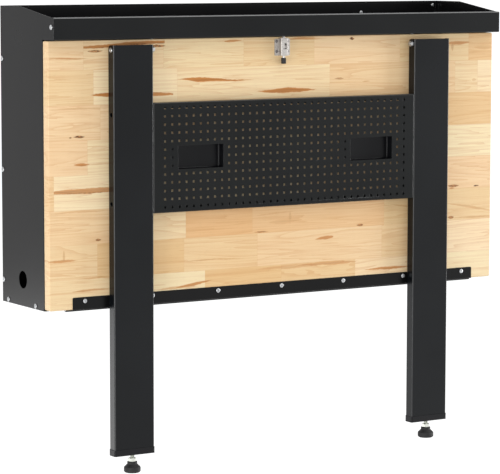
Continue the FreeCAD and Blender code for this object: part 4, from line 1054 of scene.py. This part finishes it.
def settle(name: str, mesh: bpy.types.Mesh, slot: str, body: str, finishes: Finishes,
           *nodes: str) -> bpy.types.Object:
    """Make an object of a finished mesh, dress it and join it to the frame.

    Args:
        name: The object's name.
        mesh: Its mesh.
        slot: The finish: the record's slot, and a kind after a point where it has kinds.
        body: The body that it rides.
        finishes: The bench's finishes.
        nodes: The CAD nodes that it stands for.

    Returns:
        The object.
    """
    made = add_object(name, mesh)
    mesh.materials.clear()
    mesh.materials.append(finishes.by_slot[slot])
    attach(made, body)
    if nodes:
        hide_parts(*nodes)
    log.info("%s: %d faces on %s", name, len(mesh.polygons), body)
    return made


# Fittings


@dataclass(frozen=True)
class Seat:
    """Where a fitting stands: a place in metres, the way its axis points, and a turn in degrees."""

    place: Place
    axis: Axis
    turn: float = 0.0


def placed(mesh: bpy.types.Mesh, seat: Seat) -> bpy.types.Mesh:
    """Copy a fitting onto its seat.

    Args:
        mesh: The fitting, drawn about the origin with its axis along +Z.
        seat: Where it goes.

    Returns:
        The copy.
    """
    copy = mesh.copy()
    aim = Vector(seat.axis.value).to_track_quat("Z", "Y").to_matrix().to_4x4()
    spin = Matrix.Rotation(math.radians(seat.turn), 4, "Z")
    copy.transform(Matrix.Translation(seat.place) @ aim @ spin)
    return copy


class Fitting:
    """Base of the small turned and headed pieces. Edges over its sharp angle stay sharp."""

    sharp: ClassVar[float] = 35.0

    def mesh(self) -> bpy.types.Mesh:
        """Return the fitting about the origin, with its axis along +Z."""
        raise NotImplementedError

    def piece(self, node: str, slot: str, body: str, finishes: Finishes, seats: list[Seat],
              *others: "Fitting") -> bpy.types.Object:
        """Make one object of the fitting's copies, in place of the frame's plain node.

        Args:
            node: The CAD node that it stands for.
            slot: The finish, as settle takes it.
            body: The body that it rides.
            finishes: The bench's finishes.
            seats: Where the copies stand.
            others: Fittings of the same piece, on the same seats.

        Returns:
            The object.
        """
        name = f"{node}_fine"
        masters = [one.mesh() for one in (self, *others)]
        mesh = merged(name, [placed(master, seat) for master in masters for seat in seats])
        shade(mesh, self.sharp)
        return settle(name, mesh, slot, body, finishes, node)


@dataclass(frozen=True)
class HeadedScrew(Fitting):
    """Round screw head with a cross recess, and a short plain shank."""

    head_radius: float
    head_height: float
    shank_radius: float
    shank_length: float
    dome_share: float = 0.35
    dome_fall: float = 0.96
    arm_share: float = 0.58
    arm_half_width_share: float = 0.13
    arm_steepness: float = 9.0
    end_steepness: float = 22.0
    recess_share: float = 0.62
    around: int = 64
    across: int = 18

    def mesh(self) -> bpy.types.Mesh:
        """Draw the screw about its seat.

        The head's top is h(r, a): a flattened dome, h0 + (1 - h0) sqrt(1 - 0.96 r^2), less a
        cross whose arms end in smooth steps 1 / (1 + exp(k (x - 1))). The rim and the shank
        close it below.

        Returns:
            The mesh.
        """
        share = np.linspace(0.0, 1.0, self.across)
        angle = round_angles(self.around)
        radius = share[:, None] * self.head_radius
        x = np.abs(radius * np.cos(angle))
        y = np.abs(radius * np.sin(angle))
        near = np.minimum(x, y) / (self.arm_half_width_share * self.head_radius)
        far = np.maximum(x, y) / (self.arm_share * self.head_radius)
        arm = 1.0 / (1.0 + np.exp((near - 1.0) * self.arm_steepness))
        end = 1.0 / (1.0 + np.exp((far - 1.0) * self.end_steepness))
        low = self.dome_share
        dome = low + (1.0 - low) * np.sqrt(np.clip(1.0 - share ** 2 * self.dome_fall, 0.0, 1.0))
        height = (dome[:, None] - arm * end * self.recess_share) * self.head_height
        outline = np.array([
            (self.head_radius, 0.0), (self.shank_radius, 0.0),
            (self.shank_radius, -self.shank_length), (0.0, -self.shank_length)])
        grid = np.concatenate([
            carried_round(radius, height, angle),
            carried_round(outline[:, :1], outline[:, 1:], angle)])
        return close_surface(mesh_from_grid("screw", grid, (False, True)), self.sharp)


@dataclass(frozen=True)
class Turned(Fitting):
    """A turned piece: a profile of (radius, height) carried round its axis."""

    profile: list[tuple[float, float]]
    around: int = 48
    lobes: int = 0
    lobe_depth: float = 0.0
    lobe_span: tuple[float, float] = (0.0, 0.0)

    def mesh(self) -> bpy.types.Mesh:
        """Draw the piece: (r cos a, r sin a, z), with r less by a rib wave where it has lobes.

        Returns:
            The mesh.
        """
        line = np.array(self.profile)
        angle = round_angles(self.around)
        radius, height = line[:, :1], line[:, 1:]
        if self.lobes:
            low, high = self.lobe_span
            inside = (height > low) & (height < high) & (radius > 0.0)
            wave = 0.5 - 0.5 * np.cos(angle * self.lobes)
            radius = radius - inside * wave * self.lobe_depth
        grid = carried_round(radius, height, angle)
        return close_surface(mesh_from_grid("turned", grid, (False, True)), self.sharp)


@dataclass(frozen=True)
class HexNut(Fitting):
    """Hexagon nut with chamfered faces and a plain bore."""

    sharp: ClassVar[float] = 28.0

    across_flats: float
    height: float
    bore: float
    face_share: float = 0.98
    chamfer_angle: float = 30.0
    around: int = 72

    def mesh(self) -> bpy.types.Mesh:
        """Draw the nut standing on its origin.

        The side's radius is the hexagon's, f / cos(a), where a is the angle from the nearest
        flat. At each end it is cut by a cone that starts just inside the flats.

        Returns:
            The mesh.
        """
        angle = round_angles(self.around)
        flat = self.across_flats / 2.0
        away = (angle + math.pi / 6) % (math.pi / 3) - math.pi / 6
        hexagon = flat / np.cos(away)
        face = np.full_like(angle, flat * self.face_share)
        chamfer = (hexagon - face) * math.tan(math.radians(self.chamfer_angle))
        radius = np.concatenate([np.full_like(angle, self.bore), face, hexagon])
        height = np.concatenate([0.0 * angle, 0.0 * angle, chamfer])
        grid = carried_round(
            np.concatenate([radius, radius[::-1]]),
            np.concatenate([height, self.height - height[::-1]]), angle)
        return close_surface(mesh_from_grid("nut", grid, (True, True)), self.sharp)


@dataclass(frozen=True)
class ThreadedStud(Fitting):
    """Stud whose thread is a ridge that climbs one pitch a turn and runs out at the top."""

    sharp: ClassVar[float] = 50.0

    radius: float
    low: float
    high: float
    pitch: float = 1.5
    depth: float = 0.85
    wave_gain: float = 1.25
    wave_drop: float = 0.12
    run_out: float = 1.5
    point: float = 1.2
    around: int = 32
    per_pitch: int = 8

    def mesh(self) -> bpy.types.Mesh:
        """Draw the stud: r(a, z) = R - d w(z / p - a / 2pi), w being a cut triangle wave.

        Returns:
            The mesh.
        """
        rows = int((self.high - self.low) / self.pitch * self.per_pitch)
        height = np.linspace(self.low, self.high, rows)[:, None]
        angle = round_angles(self.around)
        phase = (height / self.pitch - angle / FULL_TURN) % 1.0
        wave = 1.0 - np.abs(phase * 2.0 - 1.0)
        below = self.high - height
        cut = np.clip(wave * self.wave_gain - self.wave_drop, 0.0, 1.0)
        radius = self.radius - self.depth * cut * np.clip(below / self.run_out, 0.0, 1.0)
        radius = radius - np.clip(1.0 - below / self.point, 0.0, 1.0) * self.point
        grid = carried_round(radius, height, angle)
        return close_surface(mesh_from_grid("stud", grid, (False, True)), self.sharp)


SIDE_SCREW = HeadedScrew(head_radius=5.7, head_height=2.6, shank_radius=2.4, shank_length=9.0)
WOOD_SCREW = HeadedScrew(head_radius=5.0, head_height=2.4, shank_radius=1.8, shank_length=15.0)
LATCH_SCREW = HeadedScrew(head_radius=3.4, head_height=1.5, shank_radius=1.8, shank_length=15.0)
PIVOT_BOLT = HeadedScrew(
    head_radius=5.6, head_height=2.8, shank_radius=4.0, shank_length=111.0, dome_share=0.3)
PIVOT_NUT = HexNut(across_flats=13.0, height=6.5, bore=4.05)
LOCK_NUT = HexNut(across_flats=17.0, height=8.0, bore=5.05)
FOOT_STUD = ThreadedStud(radius=5.0, low=0.06, high=56.8)
FOOT_NECK = Turned(
    [(0.0, 0.06), (3.5, 0.06), (3.5, -4.0), (5.5, -4.0), (5.5, -7.0), (0.0, -7.0)], around=32)
FOOT_PAD = Turned(rounded_profile([
    (0.0, -7.06, 0.0), (5.56, -7.06, 0.0), (5.56, -3.94, 0.0), (3.56, -3.94, 0.0),
    (3.56, 0.0, 0.0), (11.5, 0.0, 1.0), (11.5, -5.5, 1.2), (19.2, -12.8, 1.8),
    (19.2, -22.2, 1.2), (16.4, -25.0, 0.8), (0.0, -25.0, 0.0)], steps=7), around=64)
RIVET = Turned(rounded_profile([
    (0.0, 0.9, 0.0), (1.1, 0.9, 0.2), (1.3, 1.8, 0.2), (3.4, 1.55, 1.2), (4.6, 0.0, 0.3),
    (2.0, 0.0, 0.0), (2.0, -2.5, 0.0), (0.0, -2.5, 0.0)]), around=32)
LATCH_KNOB = Turned(rounded_profile([
    (0.0, 0.0, 0.0), (5.8, 0.0, 1.4), (5.8, 13.5, 1.4), (3.54, 13.5, 0.0), (3.54, 7.0, 0.0),
    (0.0, 7.0, 0.0)], steps=6), around=96, lobes=16, lobe_depth=0.45, lobe_span=(1.0, 12.8))


# Sub-assemblies


@dataclass(frozen=True)
class Layout:
    """Levels and depths that the sub-assemblies share, in millimetres of the frame."""

    half_width: float = 610.0
    board_face: float = 235.5
    board_back: float = 210.4
    board_low: float = -307.2
    board_high: float = 294.0
    leg_outer: float = 461.0
    leg_inner: float = 359.0
    leg_middle: float = 410.0
    pivot_depth: float = 251.4
    pivot_level: float = 272.0
    foot_depth: float = 250.0

    def seat(self, across: float, depth: float, up: float, axis: Axis, turn: float = 0.0) -> Seat:
        """A seat from its distance across, in front of the wall, and up."""
        return Seat((across * MM, -depth * MM, up * MM), axis, turn)


@dataclass(frozen=True)
class Cabinet:
    """The wall cabinet's screws and rivets."""

    layout: Layout
    rear_depth: float = 7.0
    rear_levels: tuple[float, ...] = (-259.0, -5.5, 248.0)
    foot_depths: tuple[float, ...] = (30.0, 166.5)
    foot_level: float = -302.8
    lip_depth: float = 252.0
    lip_level: float = 325.0
    screw_turn: float = 37.0
    wall_face: float = 2.6

    def build(self, finishes: Finishes) -> None:
        """Draw the side screws, each turned further than the last, and the domed rivets.

        Args:
            finishes: The bench's finishes.
        """
        seat = self.layout.seat
        places = [(self.rear_depth, level) for level in self.rear_levels]
        places += [(depth, self.foot_level) for depth in self.foot_depths]
        places.append((self.lip_depth, self.lip_level))
        for side, axis, name in ((-1.0, Axis.LEFT, "left"), (1.0, Axis.RIGHT, "right")):
            SIDE_SCREW.piece(f"{name}_side_screws", "zinc", "cabinet", finishes, [
                seat(self.layout.half_width * side, depth, level, axis, self.screw_turn * index)
                for index, (depth, level) in enumerate(places)])
        wall = self.wall_face
        rows = {
            "tray_rivets": [
                seat(x, wall, z, Axis.FRONT) for x, z in ((-598, 357), (380, 341), (598, 357))],
            "pan_rivets": [seat(x, wall, -301.5, Axis.FRONT) for x in (-500, 0, 500)],
            "rail_rivets": [seat(x, 252, 296, Axis.DOWN) for x in (-358, 358)],
            "hinge_rivets": [seat(x, 202, -308.8, Axis.UP) for x in range(-500, 501, 200)],
        }
        for node, seats in rows.items():
            RIVET.piece(node, "zinc", "cabinet", finishes, seats)


@dataclass(frozen=True)
class Worktop:
    """The glued-up board with its screws."""

    layout: Layout
    corner: float = 4.0
    corner_steps: int = 12
    arris: float = 1.8
    arris_steps: int = 6
    sharp: float = 60.0
    strip_level: float = -289.0
    strip_pitch: float = 174.0
    strip_count: int = 7
    strip_gauge: float = 1.2
    strip_turn: float = 23.0
    bracket_gauge: float = 2.0
    bracket_offsets: tuple[float, ...] = (-36.0, -15.0, 15.0, 36.0)
    latch_gauge: float = 1.5
    latch_across: float = 15.5
    latch_levels: tuple[float, ...] = (260.0, 283.5)
    latch_turn: float = 10.0

    def board(self) -> bpy.types.Mesh:
        """Draw the board.

        A rounded rectangle is carried from back to front. Near each face it draws in by
        r (1 - sin a) while its depth runs through r (1 - cos a), so that the arris is a quarter
        circle. The flat faces close the two ends.

        Returns:
            The mesh.
        """
        part = self.layout
        half = np.array([part.half_width, (part.board_high - part.board_low) / 2])
        middle = (part.board_high + part.board_low) / 2
        ring = rounded_ring(tuple(half), self.corner, self.corner_steps)
        angle = np.linspace(0.0, QUARTER_TURN, self.arris_steps)
        inset = self.arris * (1.0 - np.sin(angle))
        depth = self.arris * (1.0 - np.cos(angle))
        insets = np.concatenate([inset, inset[::-1]])
        depths = np.concatenate([part.board_back + depth, part.board_face - depth[::-1]])
        plane = ring[None, :, :] * (1.0 - insets[:, None, None] / half[None, None, :])
        grid = np.stack(np.broadcast_arrays(
            plane[:, :, 0], -depths[:, None], plane[:, :, 1] + middle), axis=2) * MM
        return close_surface(mesh_from_grid("board", grid, (False, True)), self.sharp)

    def build(self, finishes: Finishes) -> None:
        """Draw the board, and the screws of the strip, the leg brackets and the latch.

        Args:
            finishes: The bench's finishes.
        """
        settle("worktop_board", self.board(), "timber", "worktop", finishes, "worktop")
        seat = self.layout.seat
        face = self.layout.board_face
        middle = (self.strip_count - 1) / 2
        WOOD_SCREW.piece("hinge_screws", "zinc", "worktop", finishes, [
            seat(self.strip_pitch * (i - middle), face + self.strip_gauge, self.strip_level,
                 Axis.FRONT, self.strip_turn * i) for i in range(self.strip_count)])
        WOOD_SCREW.piece("leg_bracket_screws", "zinc", "worktop", finishes, [
            seat(side * self.layout.leg_middle + offset, face + self.bracket_gauge,
                 self.layout.pivot_level, Axis.FRONT, offset)
            for side in (-1, 1) for offset in self.bracket_offsets])
        LATCH_SCREW.piece("latch_screws", "latch_metal.shaded_screw", "worktop", finishes, [
            seat(x, face + self.latch_gauge, z, Axis.FRONT, self.latch_turn + x)
            for x in (-self.latch_across, self.latch_across) for z in self.latch_levels])


@dataclass(frozen=True)
class Latch:
    """The latch's ribbed knob, and the flat of its bolt that shows in the window."""

    layout: Layout
    axis_depth: float = 243.0
    knob_level: float = 231.5
    flat_half: tuple[float, float] = (6.0, 3.3)
    flat_corner: float = 0.9
    flat_level: float = 270.9
    flat_face: float = 247.4
    flat_gauge: float = 2.0
    flat_edge: float = 0.4
    sharp: float = 30.0

    def _flat(self) -> bpy.types.Mesh:
        """Draw the flat: one rounded outline carried back, with its front edge broken.

        Returns:
            The mesh.
        """
        rows = []
        for out, back in ((-self.flat_edge, 0.0), (0.0, self.flat_edge), (0.0, self.flat_gauge)):
            ring = rounded_ring(
                (self.flat_half[0] + out, self.flat_half[1] + out), self.flat_corner + out)
            rows.append(np.stack(np.broadcast_arrays(
                ring[:, 0], back - self.flat_face, ring[:, 1] + self.flat_level), axis=1))
        grid = np.stack(rows) * MM
        return close_surface(mesh_from_grid("flat", grid, (False, True)), self.sharp)

    def build(self, finishes: Finishes) -> None:
        """Draw the knob with its grip ribs, and the bolt's flat.

        Args:
            finishes: The bench's finishes.
        """
        seat = self.layout.seat(0.0, self.axis_depth, self.knob_level, Axis.UP)
        LATCH_KNOB.piece("latch_knob", "knob_plastic", "latch_bolt", finishes, [seat])
        settle("latch_bolt_flat", self._flat(), "latch_metal", "latch_bolt", finishes)


@dataclass(frozen=True)
class LegFrame:
    """Pivot bolts and nuts of the leg frame."""

    layout: Layout
    bolt_turn: float = 20.0

    def build(self, finishes: Finishes) -> None:
        """Draw the bolts, which go through the legs from outside, and their nuts.

        Args:
            finishes: The bench's finishes.
        """
        part = self.layout
        where = (part.pivot_depth, part.pivot_level)
        PIVOT_BOLT.piece("pivot_bolts", "zinc", "leg_frame", finishes, [
            part.seat(-part.leg_outer, *where, Axis.LEFT, self.bolt_turn),
            part.seat(part.leg_outer, *where, Axis.RIGHT, self.bolt_turn)])
        PIVOT_NUT.piece("pivot_nuts", "zinc", "leg_frame", finishes, [
            part.seat(-part.leg_inner, *where, Axis.RIGHT),
            part.seat(part.leg_inner, *where, Axis.LEFT)])


@dataclass(frozen=True)
class HandRecess:
    """A pressed cup behind an opening of the panel, with a welded rim."""

    half_width: float = 60.0
    half_height: float = 27.0
    corner: float = 4.0
    least_corner: float = 0.4
    middle: float = 235.0
    level: float = 26.2
    mouth_depth: float = 261.7
    depth: float = 21.0
    gauge: float = 1.0
    rim: float = 6.0
    roll: float = 0.8
    tab: float = 15.0
    tab_set_back: float = 7.0
    floor_round: float = 3.2
    round_steps: int = 6
    sharp: float = 40.0

    def _profile(self) -> Array:
        """Points of (outward from the opening, behind the panel) from the floor out and back.

        Inside: the floor, a quarter circle up to the wall, and a small roll onto the rim. The
        outside comes back at one gauge from it.

        Returns:
            The points, of shape (points, 2).
        """
        turn = np.linspace(0.0, QUARTER_TURN, self.round_steps)
        inner = self.floor_round
        outer = inner + self.gauge
        inside, outside = (
            np.stack([radius * np.sin(turn) - inner,
                      self.depth - outer + radius * np.cos(turn)], axis=1)
            for radius in (inner, outer))
        onto = self.roll - self.roll * np.stack([np.cos(turn[::2]), np.sin(turn[::2])], axis=1)
        edge = np.array([(self.rim, 0.0), (self.rim, self.gauge), (self.gauge, self.gauge)])
        return np.concatenate([inside, onto, edge, outside[::-1]])

    def mesh(self, across: float) -> bpy.types.Mesh:
        """Draw one cup: the rounded opening's outline, carried out and back by the profile.

        The rim is wider on the left, and leans back there behind a column of holes.

        Args:
            across: Where the opening's middle is, in millimetres.

        Returns:
            The mesh.
        """
        rows = []
        for out, back in self._profile():
            ring = rounded_ring((self.half_width + out, self.half_height + out),
                                max(self.corner + out, self.least_corner))
            tab = (out == self.rim) * (ring[:, 0] < 0.0)
            rows.append(np.stack([
                ring[:, 0] - self.tab * tab + across,
                back - self.mouth_depth + self.tab_set_back * tab,
                ring[:, 1] + self.level], axis=1))
        grid = np.stack(rows) * MM
        return close_surface(mesh_from_grid("cup", grid, (False, True)), self.sharp)

    def build(self, finishes: Finishes) -> None:
        """Draw both cups.

        Args:
            finishes: The bench's finishes.
        """
        for side, name in ((-1.0, "left"), (1.0, "right")):
            settle(f"{name}_hand_recess_fine", self.mesh(side * self.middle),
                   "panel_steel.recess", "leg_frame", finishes, f"{name}_hand_recess")


@dataclass(frozen=True)
class Feet:
    """Levelling feet: threaded studs, lock nuts and bell-shaped pads."""

    layout: Layout
    pad_top: float = -663.8
    nut_gap: float = 0.4
    nut_turn: float = 11.0

    def build(self, finishes: Finishes) -> None:
        """Draw both feet.

        Args:
            finishes: The bench's finishes.
        """
        for side, name in ((-1.0, "left"), (1.0, "right")):
            where = (side * self.layout.leg_middle, self.layout.foot_depth)
            top = self.layout.seat(*where, self.pad_top, Axis.UP)
            under = self.layout.seat(*where, self.pad_top + self.nut_gap, Axis.UP, self.nut_turn)
            foot = f"{name}_foot"
            FOOT_STUD.piece(f"{foot}_stud", "foot_steel", foot, finishes, [top], FOOT_NECK)
            LOCK_NUT.piece(f"{name}_lock_nut", "foot_steel", foot, finishes, [under])
            FOOT_PAD.piece(f"{foot}_pad", "foot_plastic", f"{foot}_pad", finishes, [top])


# Studio


@dataclass(frozen=True)
class AreaLamp:
    """A square soft box: where it stands, what it looks at, its side and its light."""

    name: str
    place: Place
    target: Place
    side: float
    power: float

    def build(self) -> None:
        """Add the lamp."""
        data = bpy.data.lights.new(self.name, "AREA")
        data.shape = "SQUARE"
        data.size = self.side
        data.energy = self.power
        lamp = add_object(self.name, data)
        lamp.location = self.place
        aim = Vector(self.target) - Vector(self.place)
        lamp.rotation_euler = aim.to_track_quat("-Z", "Y").to_euler()


@dataclass(frozen=True)
class Studio:
    """Camera, lamps, world and floor, in metres and degrees."""

    place: Place = (-3.20098, -5.27925, 0.49429)
    azimuth: float = 31.695
    elevation: float = 6.392
    roll: float = 0.081
    lens: float = 184.49
    sensor: float = 36.0
    reach: float = 400.0
    floor_level: float = -1.3295
    floor_half: float = 90.0
    floor_tone: float = 0.55
    floor_glow: float = 0.75
    world_strength: float = 0.64
    lamps: tuple[AreaLamp, ...] = (
        AreaLamp("camera_box", (-3.3, -5.5, 0.7), (0.0, -0.2, 0.0), 0.45, 74.0),
        AreaLamp("top_box", (2.2, -2.4, 3.4), (0.4, -0.2, 0.0), 1.8, 28.0),
        AreaLamp("left_box", (-4.2, -1.6, -0.3), (-0.5, -0.1, 0.0), 1.6, 72.0),
        AreaLamp("right_box", (4.6, -1.7, -0.2), (0.3, -0.2, 0.0), 1.2, 105.0),
        AreaLamp("low_box", (-1.5, 1.4, -0.9), (-0.46, -0.25, -0.5), 0.7, 3.8),
    )

    def build(self) -> None:
        """Set the whole studio up."""
        self._camera()
        self._world()
        self._floor()
        for lamp in self.lamps:
            lamp.build()
        bpy.context.scene.view_settings.view_transform = "Standard"

    def _camera(self) -> None:
        """Stand the camera where the photograph was taken from.

        Forwards is (sin a cos e, cos a cos e, -sin e) for azimuth a and elevation e. Right is
        level, up is their cross product, and both turn by the roll.
        """
        a, e, r = np.radians([self.azimuth, self.elevation, self.roll])
        ahead = np.array([np.sin(a) * np.cos(e), np.cos(a) * np.cos(e), -np.sin(e)])
        right = np.array([np.cos(a), -np.sin(a), 0.0])
        up = np.cross(right, ahead)
        turned_right = right * np.cos(r) + up * np.sin(r)
        turned_up = up * np.cos(r) - right * np.sin(r)
        data = bpy.data.cameras.new("camera")
        data.lens = self.lens
        data.sensor_width = self.sensor
        data.clip_end = self.reach
        camera = add_object("camera", data)
        basis = Matrix(np.stack([turned_right, turned_up, -ahead], axis=1).tolist())
        camera.matrix_world = Matrix.Translation(self.place) @ basis.to_4x4()
        bpy.context.scene.camera = camera

    def _world(self) -> None:
        """Plain light for the surfaces, and plain white wherever the background shows."""
        world = bpy.data.worlds.new("studio_world")
        world.use_nodes = True
        bpy.context.scene.world = world
        tree = Tree(world.node_tree)
        seen = self._seen(tree)
        strength = tree.math("MULTIPLY_ADD", seen, 1.0 - self.world_strength, self.world_strength)
        background = world.node_tree.nodes["Background"]
        background.inputs["Color"].default_value = (*WHITE, 1.0)
        tree.feed(background.inputs["Strength"], strength)

    def _seen(self, tree: Tree) -> bpy.types.NodeSocket:
        """One where the camera, a reflection or clear glass sees the surface.

        Args:
            tree: The calls that add nodes.

        Returns:
            The number, which is 0 elsewhere.
        """
        path = tree.add("LightPath").outputs
        mirrored = tree.math("MAXIMUM", path["Is Glossy Ray"], path["Is Transmission Ray"])
        return tree.math("MAXIMUM", path["Is Camera Ray"], mirrored)

    def _floor(self) -> None:
        """Pale floor that reads as white where it is lit and keeps the object's shadow."""
        sides = (-self.floor_half, self.floor_half)
        mesh = mesh_from_grid("floor", np.array(
            [[(across, along, self.floor_level) for across in sides] for along in sides]))
        floor = add_object("floor", mesh)
        material = bpy.data.materials.new("pale_floor")
        material.use_nodes = True
        tree = Tree(material.node_tree)
        material.node_tree.nodes.remove(material.node_tree.nodes["Principled BSDF"])
        matt = tree.add("BsdfDiffuse", Color=(self.floor_tone,) * 3 + (1.0,))
        glow = tree.add("Emission", Color=(*WHITE, 1.0),
                        Strength=tree.product(self._seen(tree), self.floor_glow))
        both = tree.add("AddShader")
        tree.feed(both.inputs[0], matt.outputs[0])
        tree.feed(both.inputs[1], glow.outputs[0])
        tree.feed(material.node_tree.nodes["Material Output"].inputs["Surface"], both.outputs[0])
        mesh.materials.append(material)


def main() -> None:
    """Build the finishes, the sub-assemblies and the studio, in that order."""
    logging.basicConfig(level=logging.INFO, format="%(name)s %(message)s")
    effects = Effects()
    finishes = Finishes(effects)
    finishes.dress_nodes()
    layout = Layout()
    for assembly in (Cabinet(layout), Worktop(layout), Latch(layout), LegFrame(layout),
                     HandRecess(), Feet(layout)):
        assembly.build(finishes)
    Studio().build()


if __name__ == "__main__":
    main()
